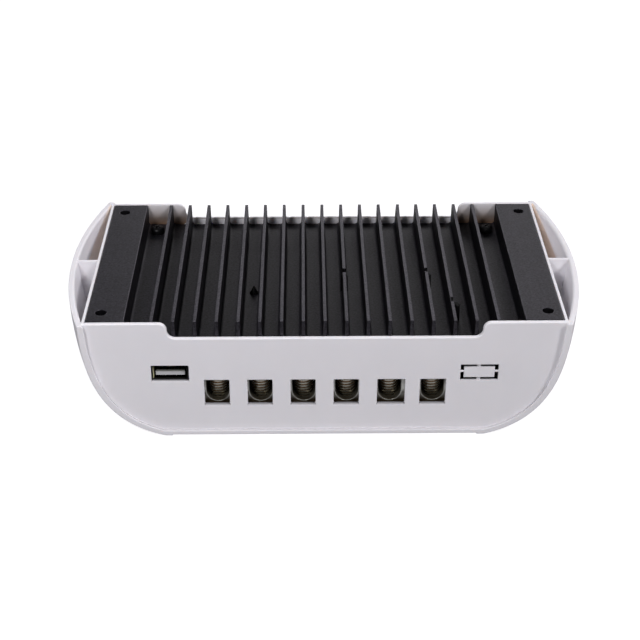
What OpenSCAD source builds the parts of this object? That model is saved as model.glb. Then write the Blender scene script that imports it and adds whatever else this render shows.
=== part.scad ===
// Solar charge controller in a moulded shell with a finned heatsink on its back.
// The controller lies on its front (display) face: +Z points out of the back,
// -Y is the terminal side. Origin: centre of the footprint, on the front plane.
// All sizes are in millimetres.

/* [Shell] */
// Width across the bulged sides at mid length
shell_w = 198.5; // [196:0.1:204]
// Height from the front plane to the back face
shell_h = 49; // [48:0.5:52]
// Length over the lips at both ends
shell_l = 102.7; // [102.2:0.1:104]
// Radius of the bulged sides in plan
side_r = 160; // [150:1:180]
// Thickness of the curved outer skin at the rim
skin_t = 2.4; // [2:0.1:2.8]
// Thickness of the two end walls
end_t = 1.6; // [1.4:0.1:2]
// Thickness of the front face in the label recess
front_t = 1.8; // [1.6:0.1:2.2]
// Depth of the label recess in the front face
recess_d = 0.5; // [0.4:0.1:0.8]
// Width of the label recess
recess_w = 116.2; // [110:0.1:120]
// Thickness of the straight walls beside the heatsink
inner_t = 1.1; // [0.9:0.1:1.4]
// Thickness of the rib in each side pocket
rib_t = 1.1; // [0.9:0.1:1.6]

/* [Heatsink] */
// Width over the two end blocks
hs_w = 176.2; // [175:0.1:177]
// Length along the fins
hs_l = 96.3; // [95:0.1:96.4]
// Number of fins between the end blocks
fin_count = 17; // [15:2:17]
// Spacing of the fins
fin_pitch = 8; // [7.6:0.1:8.2]
// Thickness of a fin at its top
fin_t = 1.27; // [1:0.01:1.6]
// Thickness of a fin just above its root
fin_root_t = 1.6; // [1.5:0.1:2]
// Height of the fins above the base
fin_h = 9.1; // [8:0.1:9.5]
// Thickness of the base plate
base_t = 3; // [3:0.1:3.2]
// Width of each end block
block_w = 14.2; // [13:0.1:14.6]
// Distance between the mounting holes across the width
mount_dx = 166; // [160:0.5:168]
// Distance between the mounting holes along the fins
mount_dy = 82.6; // [76:0.2:86]
// Tapping diameter of the M5 mounting holes
mount_d = 4.2; // [4:0.1:5]
// Depth of the mounting holes
mount_depth = 10; // [8:1:11]

/* [Terminals] */
// Spacing of the wire terminals
term_pitch = 16.25; // [16:0.05:16.6]
// Offset of the middle of the terminal row
term_off = 0.15; // [-0.5:0.05:0.5]
// Width of a clamp block
term_w = 13.4; // [12:0.1:14]
// Length of a clamp block along the wire
term_d = 13; // [12:0.5:14]
// Width of the wire channel
chan_w = 8.7; // [8.4:0.1:9]
// Diameter of the clamp screws
screw_d = 8; // [7.8:0.1:8]
// Length of the clamp screws
screw_l = 16.2; // [15:0.1:16.4]

/* [USB socket] */
// Distance of the socket and the blank port from the middle
port_x = 57.9; // [57:0.1:58.5]
// Width of the port openings
port_w = 14; // [13.6:0.1:14.4]
// Height of the port openings
port_h = 6.7; // [6.4:0.1:7]

/* [Front face] */
// Width of the visible display area
lcd_w = 70; // [60:1:72]
// Length of the visible display area
lcd_l = 42; // [36:1:43]
// Spacing of the three keys
key_pitch = 28; // [20:1:32]
// Diameter of a key cap
key_d = 10; // [8:0.5:11]

/* [Hidden] */

$fn = 96;
eps = 0.01;

// Heights
floor_z = recess_d + front_t;            // inside of the front face
base_top = shell_h - fin_h;              // floor between the fins
base_bot = base_top - base_t;            // underside of the heatsink
main_z = 30.4;                           // underside of the main board
pcb_t = 1.6;
disp_z = 9.6;                            // front side of the display board

// Plan
lip_y = shell_l / 2;                     // end of the lip
wall_out = lip_y - 1.4;                  // outer face of the end walls
wall_in = wall_out - end_t;              // inner face of the end walls
side_ax = side_r - shell_w / 2;          // axis of each bulged side
inner_in = hs_w / 2 + 0.2;               // inner face of the straight walls
inner_out = inner_in + inner_t;

// Curve of the skin in cross-section: a superellipse of the third degree,
// crv_a deep and crv_b high about a centre at crv_z above the front plane
crv_a = 53.8;
crv_b = 62.3;
crv_z = 60;
function inset(z, a, b) =
    let (t = min((crv_z - z) / b, 0.9999)) a * (1 - pow(1 - pow(t, 3), 1 / 3));
function skin_r(z, t) =
    side_r - t - inset(z, crv_a - t, crv_b - 0.8 * t) + inset(shell_h, crv_a, crv_b);

// Terminals, from left to right as seen from the terminal side
function term_x(i) = term_off + (i - 2.5) * term_pitch;
term_face = -47;                         // front face of the clamp blocks
term_y = -40.5;                          // axis of the clamp screws
term_bot = 9.2;
term_top = main_z;
chan_z = 17.6;                           // centre of the channel's round side
chan_top = 27;
screw_top = 26.6;
open_z0 = 13.4;                          // wire openings in the end wall
open_z1 = 24.4;
open_l = [4.9, 4.9, 4.95, 5.0, 4.9, 5.05];  // reach of each opening to the left
open_r = [4.6, 4.5, 4.45, 4.55, 5.6, 4.7]; // and to the right of its screw

// Ports
port_z0 = 24.15;
tab_l = [5.9, 5.6];                      // blank tab: reach left and right
web_t = 0.7;                             // thickness of the wall round the tab
usb_x = -port_x;
usb_w = 13.1;
usb_h = 6.1;
usb_z = main_z - usb_h;
usb_front = -48.6;

// Screws of the power transistors: x, y, height of the tip above the base
dev = [[-27.3, -11.4, 3.1], [8.05, -9.9, 7.0], [40.7, -9.6, 7.0], [49.8, -32.3, 7.0]];

// Fixing points
boss = [for (x = [-69.6, 69.6], y = [-40.3, 40.3]) [x, y]];
post = [for (x = [-61, 61], y = [-18, 36]) [x, y]];
disp_post = [for (x = [-47, 47], y = [-27, 43]) [x, y]];

// Front face
lcd_y = 16;
key_y = -20;
function key_x(i) = (i - 1) * key_pitch;

// ---------------------------------------------------------------- helpers

// Outline of a rectangle with rounded corners
function rrect(w, l, r, n = 8) = [
    for (q = [0:3], k = [0:n])
        let (a = q * 90 + k * 90 / n,
             sx = (q == 0 || q == 3) ? 1 : -1,
             sy = (q < 2) ? 1 : -1)
        [sx * (w / 2 - r) + r * cos(a), sy * (l / 2 - r) + r * sin(a)]
];

// Plate with rounded corners, standing on z = 0
module plate(w, l, h, r) {
    linear_extrude(height = h) polygon(rrect(w, l, r));
}

// Box given by its two corners
module box(a, b) {
    translate(a) cube([b[0] - a[0], b[1] - a[1], b[2] - a[2]]);
}

// Cross recess of a screw head, cut down from z = 0
module cross_recess(size, depth) {
    for (a = [0, 90]) rotate([0, 0, a])
        translate([-size / 2, -size * 0.14, -depth]) cube([size, size * 0.28, depth + 1]);
}

// Machine screw with a pan head: head on top of z = 0, shank below
module pan_screw(d, l, head_d, head_h) {
    difference() {
        union() {
            translate([0, 0, -l]) cylinder(d = d, h = l + 0.2);
            cylinder(d = head_d, h = head_h * 0.55);
            translate([0, 0, head_h * 0.55 - eps])
                cylinder(d1 = head_d, d2 = head_d * 0.72, h = head_h * 0.45 + eps);
        }
        translate([0, 0, head_h]) cross_recess(head_d * 0.52, head_h * 0.62);
    }
}

// ---------------------------------------------------------------- shell

// Body of revolution that carries one bulged side; t is the inset of the face
module side_disc(t, z0, z1) {
    n = 24;
    rotate_extrude($fn = 720)
        polygon(concat([[0, z0]],
            [for (i = [0:n])
                let (z = z0 + (z1 - z0) * pow(i / n, 1.8)) [skin_r(z, t), z]],
            [[0, z1]]));
}

// Lens-shaped block bounded by both bulged sides
module lens(t, z0, z1, y) {
    intersection() {
        translate([-side_ax, 0, 0]) side_disc(t, z0, z1);
        translate([side_ax, 0, 0]) side_disc(t, z0, z1);
        box([-130, -y, z0 - 1], [130, y, z1 + 1]);
    }
}

// Outline of the air notch in the end walls, x against z
function notch_outline(hw, z0, z1, r, n = 8) = concat(
    [for (k = [0:n]) let (a = 270 + 90 * k / n) [hw - r + r * cos(a), z0 + r + r * sin(a)]],
    [for (k = [0:n]) let (a = 180 - 90 * k / n) [hw + r + r * cos(a), z1 - r + r * sin(a)]],
    [[hw + r, z1 + 2], [-hw - r, z1 + 2]],
    [for (k = [n:-1:0]) let (a = 90 * k / n) [-hw - r + r * cos(a), z1 - r + r * sin(a)]],
    [for (k = [n:-1:0]) let (a = 270 - 90 * k / n) [-hw + r + r * cos(a), z0 + r + r * sin(a)]]
);

module air_notch() {
    rotate([90, 0, 0]) translate([0, 0, -4])
        linear_extrude(height = 8)
            polygon(notch_outline(58.2, base_top + 2.75, shell_h, 3));
}

// Frame-shaped slot that leaves a blank tab held by four thin bridges
module port_blank_cut() {
    z0 = port_z0 - 0.1;
    w = tab_l[0] + tab_l[1];
    h = port_h - 2.15;
    difference() {
        box([port_x - port_w / 2, -wall_out - 1, z0], [port_x + port_w / 2, -wall_in + 1, z0 + port_h]);
        translate([port_x + (tab_l[1] - tab_l[0]) / 2, -wall_in + 2, z0 + 1.1 + h / 2])
            rotate([90, 0, 0]) plate(w, h, 6, 0.5);
        box([port_x - 1.0, -wall_out + 0.5, z0 - 1], [port_x + 0.4, -wall_in + 2, z0 + port_h + 1]);
        box([port_x - port_w, -wall_out + 0.15, z0 + 3.4], [port_x + port_w, -wall_in + 2, z0 + 4.0]);
    }
}

module front_shell() {
    color("whitesmoke")
    difference() {
        union() {
            // outer skin and front face
            difference() {
                lens(0, 0, shell_h, lip_y);
                lens(skin_t, floor_z, shell_h + 1, lip_y + 1);
            }
            // end walls, straight walls, pocket ribs and bosses, held inside the skin
            intersection() {
                lens(0.5, 1, shell_h, lip_y);
                union() {
                    for (s = [-1, 1]) {
                        box([-100, s > 0 ? wall_in : -wall_out, 1], [100, s > 0 ? wall_out : -wall_in, shell_h]);
                        box([s > 0 ? inner_in : -inner_out, -wall_in - eps, 13], [s > 0 ? inner_out : -inner_in, wall_in + eps, shell_h]);
                        box([s > 0 ? inner_out - 0.3 : -98, -0.8 - rib_t / 2, 13], [s > 0 ? 98 : 0.3 - inner_out, -0.8 + rib_t / 2, shell_h]);
                        // ledges under the heatsink
                        box([s > 0 ? inner_in - 1.8 : -inner_in - 0.1, -wall_in, base_bot - 2.5], [s > 0 ? inner_in + 0.1 : 1.8 - inner_in, wall_in, base_bot]);
                    }
                    // heatsink bosses with a web to the end wall
                    for (p = boss) {
                        translate([p[0], p[1], 1]) cylinder(d = 7.2, h = base_bot - 1);
                        box([p[0] - 0.7, p[1] > 0 ? p[1] : -wall_in - eps, 1], [p[0] + 0.7, p[1] > 0 ? wall_in + eps : p[1], base_bot - 4]);
                    }
                    // display board posts
                    for (p = disp_post) translate([p[0], p[1], 1]) cylinder(d = 5.6, h = disp_z - 1);
                    // collars round the screwdriver holes
                    for (i = [0:5]) translate([term_x(i), term_y, 1]) cylinder(d = 12, h = 6.6);
                    // collars round the keys
                    for (i = [0:2]) translate([key_x(i), key_y, 1]) cylinder(d = key_d + 5.6, h = floor_z + 0.1);
                }
            }
        }
        // air notches over both end walls
        translate([0, -(wall_in + wall_out) / 2, 0]) air_notch();
        translate([0, (wall_in + wall_out) / 2, 0]) air_notch();
        // wire openings
        for (i = [0:5])
            box([term_x(i) - open_l[i], -wall_out - 1, open_z0], [term_x(i) + open_r[i], -wall_in + 1, open_z1]);
        // USB opening and the blank port beside it
        box([usb_x - port_w / 2, -wall_out - 1, port_z0], [usb_x + port_w / 2, -wall_in + 1, port_z0 + port_h]);
        port_blank_cut();
        // thinned wall behind the blank port
        box([port_x - port_w / 2 - 1, -wall_out + web_t, port_z0 - 1.1], [port_x + port_w / 2 + 1, -wall_in + 1, port_z0 + port_h + 1]);
        // label recess
        box([-recess_w / 2, -lip_y - 1, -1], [recess_w / 2, lip_y + 1, recess_d]);
        // display opening with a seat for the window
        translate([0, lcd_y, 0]) plate(lcd_w + 6.4, lcd_l + 6.4, recess_d + 1.2, 2);
        translate([0, lcd_y, -1]) plate(lcd_w, lcd_l, 5, 1);
        // keys
        for (i = [0:2]) {
            translate([key_x(i), key_y, -1]) cylinder(d = key_d + 0.6, h = 8);
            translate([key_x(i), key_y, floor_z]) cylinder(d = key_d + 3.2, h = 8);
        }
        // screwdriver holes
        for (i = [0:5]) translate([term_x(i), term_y, -1]) cylinder(d = 9.4, h = 10);
        // screw holes in the bosses and posts
        for (p = boss) translate([p[0], p[1], base_bot - 12]) cylinder(d = 3, h = 14);
        for (p = disp_post) translate([p[0], p[1], 3.2]) cylinder(d = 2.2, h = 8);
    }
}

// ---------------------------------------------------------------- heatsink

// Half outline of one fin standing on z = 0, with a root fillet of radius r
function fin_side(x, s, r, n = 4) = [
    for (k = [0:n]) let (a = 90 * k / n) [x + s * (fin_root_t / 2 + r - r * sin(a)), r - r * cos(a)]
];
function fin_outline(x) = concat(
    fin_side(x, -1, 1.1),
    [[x - fin_t / 2, fin_h - 0.25], [x - fin_t / 2 + 0.2, fin_h],
     [x + fin_t / 2 - 0.2, fin_h], [x + fin_t / 2, fin_h - 0.25]],
    [for (k = [4:-1:0]) fin_side(x, 1, 1.1)[k]]
);
function flat(l) = [for (a = l) for (b = a) b];

module heatsink_profile() {
    c = 0.35;
    bx = hs_w / 2;
    bi = bx - block_w;
    polygon(concat(
        [[-bx, -base_t], [-bx, fin_h - c], [-bx + c, fin_h], [-bi - c, fin_h], [-bi, fin_h - c], [-bi, 1], [-bi + 1, 0]],
        flat([for (i = [0:fin_count - 1]) fin_outline((i - (fin_count - 1) / 2) * fin_pitch)]),
        [[bi - 1, 0], [bi, 1], [bi, fin_h - c], [bi + c, fin_h], [bx - c, fin_h], [bx, fin_h - c], [bx, -base_t]]
    ));
}

module heatsink() {
    color([0.16, 0.16, 0.18])
    difference() {
        translate([0, hs_l / 2, base_top]) rotate([90, 0, 0])
            linear_extrude(height = hs_l) heatsink_profile();
        // tapped mounting holes with a light chamfer
        for (x = [-1, 1], y = [-1, 1]) translate([x * mount_dx / 2, y * mount_dy / 2, shell_h]) {
            translate([0, 0, -mount_depth]) cylinder(d = mount_d, h = mount_depth + 1);
        }
        // clearance holes of the corner screws
        for (p = boss) translate([p[0], p[1], base_bot - 1]) cylinder(d = 3.4, h = base_t + 2);
        // tapped holes of the transistor screws, drilled on wider through the fins
        for (p = dev) {
            translate([p[0], p[1], base_bot - 1]) cylinder(d = 3, h = base_t + 2);
            translate([p[0], p[1], base_top]) cylinder(d = 3.3, h = fin_h + 1);
        }
        // blind holes for the board standoffs
        for (p = post) translate([p[0], p[1], base_bot - 1]) cylinder(d = 3, h = 3.3);
    }
}

module heatsink_screws() {
    color([0.1, 0.1, 0.1])
    for (p = boss) translate([p[0], p[1], base_top]) pan_screw(2.9, 11, 5.5, 2.8);
}

// Screw of a power transistor: head below the tab, tip above the base
module device_screw(tip) {
    head_z = base_bot - 0.2 - 1.3;
    top = base_top + tip;
    point = tip < 5 ? 2.4 : 0.5;
    difference() {
        union() {
            translate([0, 0, head_z - 2.2]) cylinder(d = 5.5, h = 2.2);
            translate([0, 0, head_z - 0.2]) cylinder(d = 2.9, h = top - point - head_z + 0.2);
            translate([0, 0, top - point - eps]) cylinder(d1 = 2.9, d2 = tip < 5 ? 0.5 : 2.1, h = point + eps);
        }
        translate([0, 0, head_z - 2.2]) rotate([180, 0, 0]) cross_recess(2.9, 1.4);
    }
}

module device_screws() {
    color([0.12, 0.12, 0.12])
    for (p = dev) translate([p[0], p[1], 0]) device_screw(p[2]);
}

// ---------------------------------------------------------------- terminals

// Clamp block: a solid plated block with a U-shaped wire channel
// and a threaded hole for the clamp screw in its lower side
module clamp_block() {
    difference() {
        union() {
            box([-term_w / 2, term_face, term_bot], [term_w / 2, term_face + term_d, term_top]);
            for (s = [-1, 1]) translate([s * 4, term_y + 4.5, term_top - 1]) cylinder(d = 1.6, h = pcb_t + 1.2);
        }
        // wire channel
        translate([0, term_face - 1, chan_z]) rotate([-90, 0, 0]) cylinder(d = chan_w, h = term_d + 2);
        box([-chan_w / 2, term_face - 1, chan_z], [chan_w / 2, term_face + term_d + 1, chan_top]);
        // screw hole
        translate([0, term_y, term_bot - 1]) cylinder(d = screw_d + 0.1, h = chan_z - term_bot);
    }
}

// Clamp screw, headless, with a cross recess at its lower end
module clamp_screw() {
    translate([0, term_y, screw_top - screw_l])
    difference() {
        union() {
            translate([0, 0, 0.6]) cylinder(d = screw_d, h = screw_l - 1.2);
            translate([0, 0, 0]) cylinder(d1 = screw_d - 1.2, d2 = screw_d, h = 0.6 + eps);
            translate([0, 0, screw_l - 0.6 - eps]) cylinder(d1 = screw_d, d2 = screw_d - 1.4, h = 0.6 + eps);
        }
        rotate([180, 0, 0]) cross_recess(5, 2.6);
    }
}

module terminal(i) { color([0.78, 0.76, 0.72]) translate([term_x(i), 0, 0]) clamp_block(); }
module terminal_screw(i) { color([0.72, 0.62, 0.42]) translate([term_x(i), 0, 0]) clamp_screw(); }

// ---------------------------------------------------------------- USB socket

module usb_shell() {
    color([0.75, 0.75, 0.74])
    difference() {
        box([usb_x - usb_w / 2, usb_front, usb_z], [usb_x + usb_w / 2, usb_front + 14, main_z]);
        box([usb_x - usb_w / 2 + 0.35, usb_front - 1, usb_z + 0.35], [usb_x + usb_w / 2 - 0.35, usb_front + 13.6, main_z - 0.35]);
        // cut-outs of the two contact springs in the lower side
        for (s = [-1, 1]) difference() {
            box([usb_x + s * 3 - 1.3, usb_front + 1.5, usb_z - 1], [usb_x + s * 3 + 1.3, usb_front + 8, usb_z + 1]);
            box([usb_x + s * 3 - 0.8, usb_front + 2.2, usb_z - 2], [usb_x + s * 3 + 0.8, usb_front + 9, usb_z + 2]);
        }
    }
}

module usb_tongue() {
    color([0.93, 0.93, 0.92]) {
        difference() {
            union() {
                box([usb_x - 5.45, usb_front + 0.3, 25.9], [usb_x + 5.45, usb_front + 11, 27.75]);
                box([usb_x - 6.1, usb_front + 9.8, usb_z + 0.4], [usb_x + 6.1, usb_front + 13.5, main_z - 0.4]);
            }
            // grooves of the four contacts
            for (x = [-3.5, -1, 1, 3.5])
                box([usb_x + x - 0.6, usb_front + 1.1, 27.45], [usb_x + x + 0.6, usb_front + 9.8, 29]);
            // bevel on the upper front edge
            translate([usb_x - 7, usb_front + 0.3, 27.15]) rotate([45, 0, 0]) cube([14, 2, 2]);
        }
    }
}

module usb_contacts() {
    color([0.8, 0.66, 0.3])
    for (x = [-3.5, -1, 1, 3.5])
        box([usb_x + x - 0.5, usb_front + 1.2, 27.5], [usb_x + x + 0.5, usb_front + 9.75, 27.8]);
}

// ---------------------------------------------------------------- front face

module front_overlay() {
    color([0.2, 0.24, 0.3])
    difference() {
        translate([0, 8.5, recess_d - 0.3]) plate(recess_w - 0.6, 84, 0.3, 3);
        translate([0, lcd_y, -1]) plate(lcd_w, lcd_l, 3, 1);
        for (i = [0:2]) translate([key_x(i), key_y, -1]) cylinder(d = key_d + 0.8, h = 3);
    }
}

module lcd_window() {
    color([0.85, 0.9, 0.92, 0.5])
    translate([0, lcd_y, recess_d]) plate(lcd_w + 6, lcd_l + 6, 1.2, 1.8);
}

module key_cap(i) {
    color([0.32, 0.34, 0.38])
    translate([key_x(i), key_y, 0]) {
        translate([0, 0, 0.12]) cylinder(d1 = key_d - 0.6, d2 = key_d, h = 0.3 + eps);
        translate([0, 0, 0.42]) cylinder(d = key_d, h = floor_z - 0.26);
        translate([0, 0, floor_z + 0.15]) cylinder(d = key_d + 2.4, h = 1);
        translate([0, 0, floor_z + 1]) cylinder(d = 4, h = 1.3);
    }
}

module key_plunger(i) {
    color([0.15, 0.15, 0.15])
    translate([key_x(i), key_y, floor_z + 2.3]) cylinder(d = 3.5, h = 3.6);
}

module key_switches() {
    color([0.25, 0.25, 0.27])
    for (i = [0:2]) translate([key_x(i), key_y, 0]) difference() {
        box([-3, -3, disp_z - 3.4], [3, 3, disp_z]);
        translate([0, 0, disp_z - 4]) cylinder(d = 3.7, h = 3.2);
    }
}

module lcd_glass() {
    color([0.55, 0.62, 0.55])
    translate([0, lcd_y, 3.1]) plate(lcd_w + 4, lcd_l + 4, 2.1, 0.6);
}

module lcd_backlight() {
    color([0.95, 0.96, 0.9])
    translate([0, lcd_y, 5.25]) plate(lcd_w + 4, lcd_l + 4, 3.2, 0.6);
}

// Frame that holds the glass and the light guide on the board
module lcd_frame() {
    color([0.1, 0.1, 0.1])
    translate([0, lcd_y, 2.6]) difference() {
        plate(lcd_w + 9, lcd_l + 9, disp_z - 2.6, 2);
        translate([0, 0, 0.4]) plate(lcd_w + 4.3, lcd_l + 4.3, 10, 0.8);
        translate([0, 0, -1]) plate(lcd_w + 0.6, lcd_l + 0.6, 10, 0.8);
    }
}

// ---------------------------------------------------------------- inside

module display_board() {
    color([0.1, 0.42, 0.2])
    difference() {
        translate([0, 8, disp_z]) plate(104, 78, pcb_t, 2);
        for (p = disp_post) translate([p[0], p[1], disp_z - 1]) cylinder(d = 3, h = 4);
    }
}

module display_screws() {
    color([0.7, 0.7, 0.68])
    for (p = disp_post) translate([p[0], p[1], disp_z + pcb_t]) pan_screw(2.1, 6, 4.4, 1.6);
}

// Pin header that stands on the display board
module board_header() {
    color([0.12, 0.12, 0.12]) {
        box([-10.2, 35.4, disp_z + pcb_t], [10.2, 40.4, disp_z + pcb_t + 2.5]);
    }
    color([0.85, 0.7, 0.35])
    for (i = [0:7], j = [0:1])
        translate([(i - 3.5) * 2.54 - 0.32, 37.9 + (j - 0.5) * 2.54 - 0.32, disp_z + pcb_t + 2])
            cube([0.64, 0.64, 14]);
}

// Socket under the main board that the pins go into
module header_socket() {
    color([0.1, 0.1, 0.1])
    difference() {
        box([-10.4, 35.3, main_z - 9], [10.4, 40.5, main_z]);
        for (i = [0:7], j = [0:1])
            translate([(i - 3.5) * 2.54 - 0.4, 37.9 + (j - 0.5) * 2.54 - 0.4, main_z - 10])
                cube([0.8, 0.8, 8]);
    }
}

module main_board() {
    color([0.1, 0.45, 0.2])
    difference() {
        translate([0, -2.2, main_z]) plate(131, 91, pcb_t, 1);
        for (p = post) translate([p[0], p[1], main_z - 1]) cylinder(d = 3.4, h = 4);
        for (p = dev) translate([p[0], p[1], main_z - 1]) cylinder(d = 7, h = 4);
        for (i = [0:5], s = [-1, 1]) translate([term_x(i) + s * 4, term_y + 4.5, main_z - 1]) cylinder(d = 1.8, h = 4);
    }
}

// Hexagonal standoffs between the main board and the heatsink
module board_standoffs() {
    color([0.78, 0.68, 0.4])
    for (p = post) translate([p[0], p[1], 0]) difference() {
        union() {
            translate([0, 0, main_z + pcb_t]) cylinder(d = 6.35, h = base_bot - main_z - pcb_t, $fn = 6);
            translate([0, 0, base_bot - 0.5]) cylinder(d = 2.9, h = 2.6);
        }
        translate([0, 0, main_z + pcb_t - 1]) cylinder(d = 3, h = 4.8);
    }
}

module board_screws() {
    color([0.7, 0.7, 0.68])
    for (p = post) translate([p[0], p[1], main_z]) mirror([0, 0, 1]) pan_screw(2.9, 5, 5.5, 2.2);
}

// Flat transistor package: metal tab towards the heatsink, leads to the board
module power_transistor(p) {
    z = base_bot - 0.2;
    translate([p[0], p[1], 0]) {
        color([0.75, 0.75, 0.75]) difference() {
            box([-5, -2.8, z - 1.3], [5, 12.4, z]);
            translate([0, 0, z - 2]) cylinder(d = 3.6, h = 3);
        }
        color([0.12, 0.12, 0.12]) box([-5.1, 3.2, z - 4.4], [5.1, 12.6, z - 0.4]);
        color([0.7, 0.7, 0.7]) for (x = [-2.54, 0, 2.54]) {
            box([x - 0.4, 12.5, z - 2.9], [x + 0.4, 15.6, z - 2.4]);
            box([x - 0.4, 15.1, main_z + pcb_t], [x + 0.4, 15.6, z - 2.5]);
        }
    }
}

module power_transistors() { for (p = dev) power_transistor(p); }

module insulating_pads() {
    color([0.75, 0.78, 0.8])
    for (p = dev) translate([p[0], p[1], 0]) difference() {
        box([-5.8, -3.4, base_bot - 0.2], [5.8, 13.2, base_bot]);
        translate([0, 0, base_bot - 1]) cylinder(d = 3.6, h = 2);
    }
}

module bulk_capacitors() {
    color([0.12, 0.16, 0.3])
    for (x = [-44, -28, 44]) translate([x, -18, main_z - 17]) {
        cylinder(d = 13, h = 17);
    }
}

module microcontroller() {
    color([0.12, 0.12, 0.12]) box([-25, 12, disp_z + pcb_t + 0.1], [-15, 22, disp_z + pcb_t + 1.5]);
    color([0.8, 0.8, 0.8]) for (a = [0:3]) translate([-20, 17, 0]) rotate([0, 0, a * 90])
        for (k = [-5:5]) box([4.9, k * 0.8 - 0.15, disp_z + pcb_t], [6, k * 0.8 + 0.15, disp_z + pcb_t + 0.3]);
}

module current_shunts() {
    color([0.72, 0.45, 0.3])
    for (x = [-8, 16]) {
        box([x - 8, -30, main_z - 5.2], [x + 8, -26, main_z - 4]);
        for (s = [-1, 1]) box([x + s * 7.4 - 0.6, -30, main_z - 5], [x + s * 7.4 + 0.6, -26, main_z]);
    }
}

module usb_inductor() {
    color([0.3, 0.3, 0.3]) translate([-57.5, -24, main_z - 7]) {
        cylinder(d = 8, h = 1.2);
        translate([0, 0, 5.8]) cylinder(d = 8, h = 1.2);
    }
    color([0.7, 0.4, 0.2]) translate([-57.5, -24, main_z - 6]) cylinder(d = 6.8, h = 5);
}

// ---------------------------------------------------------------- nodes

front_shell();
heatsink();
heatsink_screws();
device_screws();
terminal(0);  // terminal_pv_positive
terminal(1);  // terminal_pv_negative
terminal(2);  // terminal_battery_positive
terminal(3);  // terminal_battery_negative
terminal(4);  // terminal_load_positive
terminal(5);  // terminal_load_negative
terminal_screw(0);  // screw_pv_positive
terminal_screw(1);  // screw_pv_negative
terminal_screw(2);  // screw_battery_positive
terminal_screw(3);  // screw_battery_negative
terminal_screw(4);  // screw_load_positive
terminal_screw(5);  // screw_load_negative
usb_shell();
usb_tongue();
usb_contacts();
front_overlay();
lcd_window();
key_cap(0);  // key_menu
key_cap(1);  // key_up
key_cap(2);  // key_down
key_plunger(0);  // plunger_menu
key_plunger(1);  // plunger_up
key_plunger(2);  // plunger_down
key_switches();
lcd_glass();
lcd_frame();
lcd_backlight();
display_board();
display_screws();
board_header();
header_socket();
main_board();
board_standoffs();
board_screws();
power_transistors();
insulating_pads();
bulk_capacitors();
microcontroller();
current_shunts();
usb_inductor();
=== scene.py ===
import bpy, bmesh, math, random
import numpy as np
from mathutils import Vector, Matrix


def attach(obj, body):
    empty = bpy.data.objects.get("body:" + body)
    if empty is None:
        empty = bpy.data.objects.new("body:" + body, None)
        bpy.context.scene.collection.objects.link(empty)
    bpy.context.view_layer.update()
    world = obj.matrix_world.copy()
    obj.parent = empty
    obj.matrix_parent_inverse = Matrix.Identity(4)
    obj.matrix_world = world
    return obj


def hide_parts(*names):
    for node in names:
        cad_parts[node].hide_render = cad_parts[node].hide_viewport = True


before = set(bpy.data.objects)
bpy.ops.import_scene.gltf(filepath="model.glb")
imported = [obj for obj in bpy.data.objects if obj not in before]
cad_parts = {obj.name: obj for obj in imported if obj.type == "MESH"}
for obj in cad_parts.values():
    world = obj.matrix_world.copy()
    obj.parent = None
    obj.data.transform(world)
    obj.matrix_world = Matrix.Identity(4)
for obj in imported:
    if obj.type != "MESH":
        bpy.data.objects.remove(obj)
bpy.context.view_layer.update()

MM = 0.001
PI = math.pi
random.seed(7)

# ------------------------------------------------------------------ dimensions (millimetres, as in the CAD)
SHELL_W, SHELL_H, SHELL_L = 198.5, 49.0, 102.7
SIDE_R, SKIN, END_T, FRONT_T, RECESS_D, RECESS_W = 160.0, 2.4, 1.6, 1.8, 0.5, 116.2
INNER_T, RIB_T = 1.1, 1.1
HS_W, HS_L, PITCH, FIN_T, FIN_ROOT, FIN_H, BASE_T, BLOCK_W = 176.2, 96.3, 8.0, 1.27, 1.6, 9.1, 3.0, 14.2
MOUNT_DX, MOUNT_DY, MOUNT_D = 166.0, 82.6, 4.2
TPITCH, TERM_W, TERM_D, CHAN_W, SCREW_D, SCREW_L = 16.25, 13.4, 13.0, 8.7, 8.0, 16.2
PORT_X, PORT_W, PORT_H = 57.9, 14.0, 6.7
LCD_W, LCD_L, LCD_Y, KEY_Y, KEY_P, KEY_D = 70.0, 42.0, 16.0, -20.0, 28.0, 10.0
FLOOR_Z = RECESS_D + FRONT_T
BASE_TOP = SHELL_H - FIN_H
BASE_BOT = BASE_TOP - BASE_T
MAIN_Z, PCB_T, DISP_Z = 30.4, 1.6, 9.6
LIP_Y = SHELL_L / 2
WALL_OUT = LIP_Y - 1.4
WALL_IN = WALL_OUT - END_T
SIDE_AX = SIDE_R - SHELL_W / 2
INNER_IN = HS_W / 2 + 0.2
INNER_OUT = INNER_IN + INNER_T
CRV_A, CRV_B, CRV_Z = 53.8, 62.3, 60.0
TX = [0.15 + (i - 2.5) * TPITCH for i in range(6)]
TERM_FACE, TERM_Y, TERM_BOT, TERM_TOP, CHAN_Z, CHAN_TOP, SCREW_TOP = -47.0, -40.5, 9.2, MAIN_Z, 17.6, 27.0, 26.6
OPEN_Z0, OPEN_Z1 = 13.4, 24.4
OPEN_L = [4.9, 4.9, 4.95, 5.0, 4.9, 5.05]
OPEN_R = [4.6, 4.5, 4.45, 4.55, 5.6, 4.7]
PORT_Z0 = 24.15
USB_X, USB_W, USB_H, USB_Z, USB_F = -PORT_X, 13.1, 6.1, MAIN_Z - 6.1, -48.6
DEV = [(-27.3, -11.4, 3.1), (8.05, -9.9, 7.0), (40.7, -9.6, 7.0), (49.8, -32.3, 7.0)]
BOSS = [(x, y) for x in (-69.6, 69.6) for y in (-40.3, 40.3)]
DPOST = [(x, y) for x in (-47, 47) for y in (-27, 43)]


def inset(z, a, b):
    t = max(min((CRV_Z - z) / b, 0.9999), 0.0)
    return a * (1 - (1 - t ** 3) ** (1 / 3))


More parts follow.
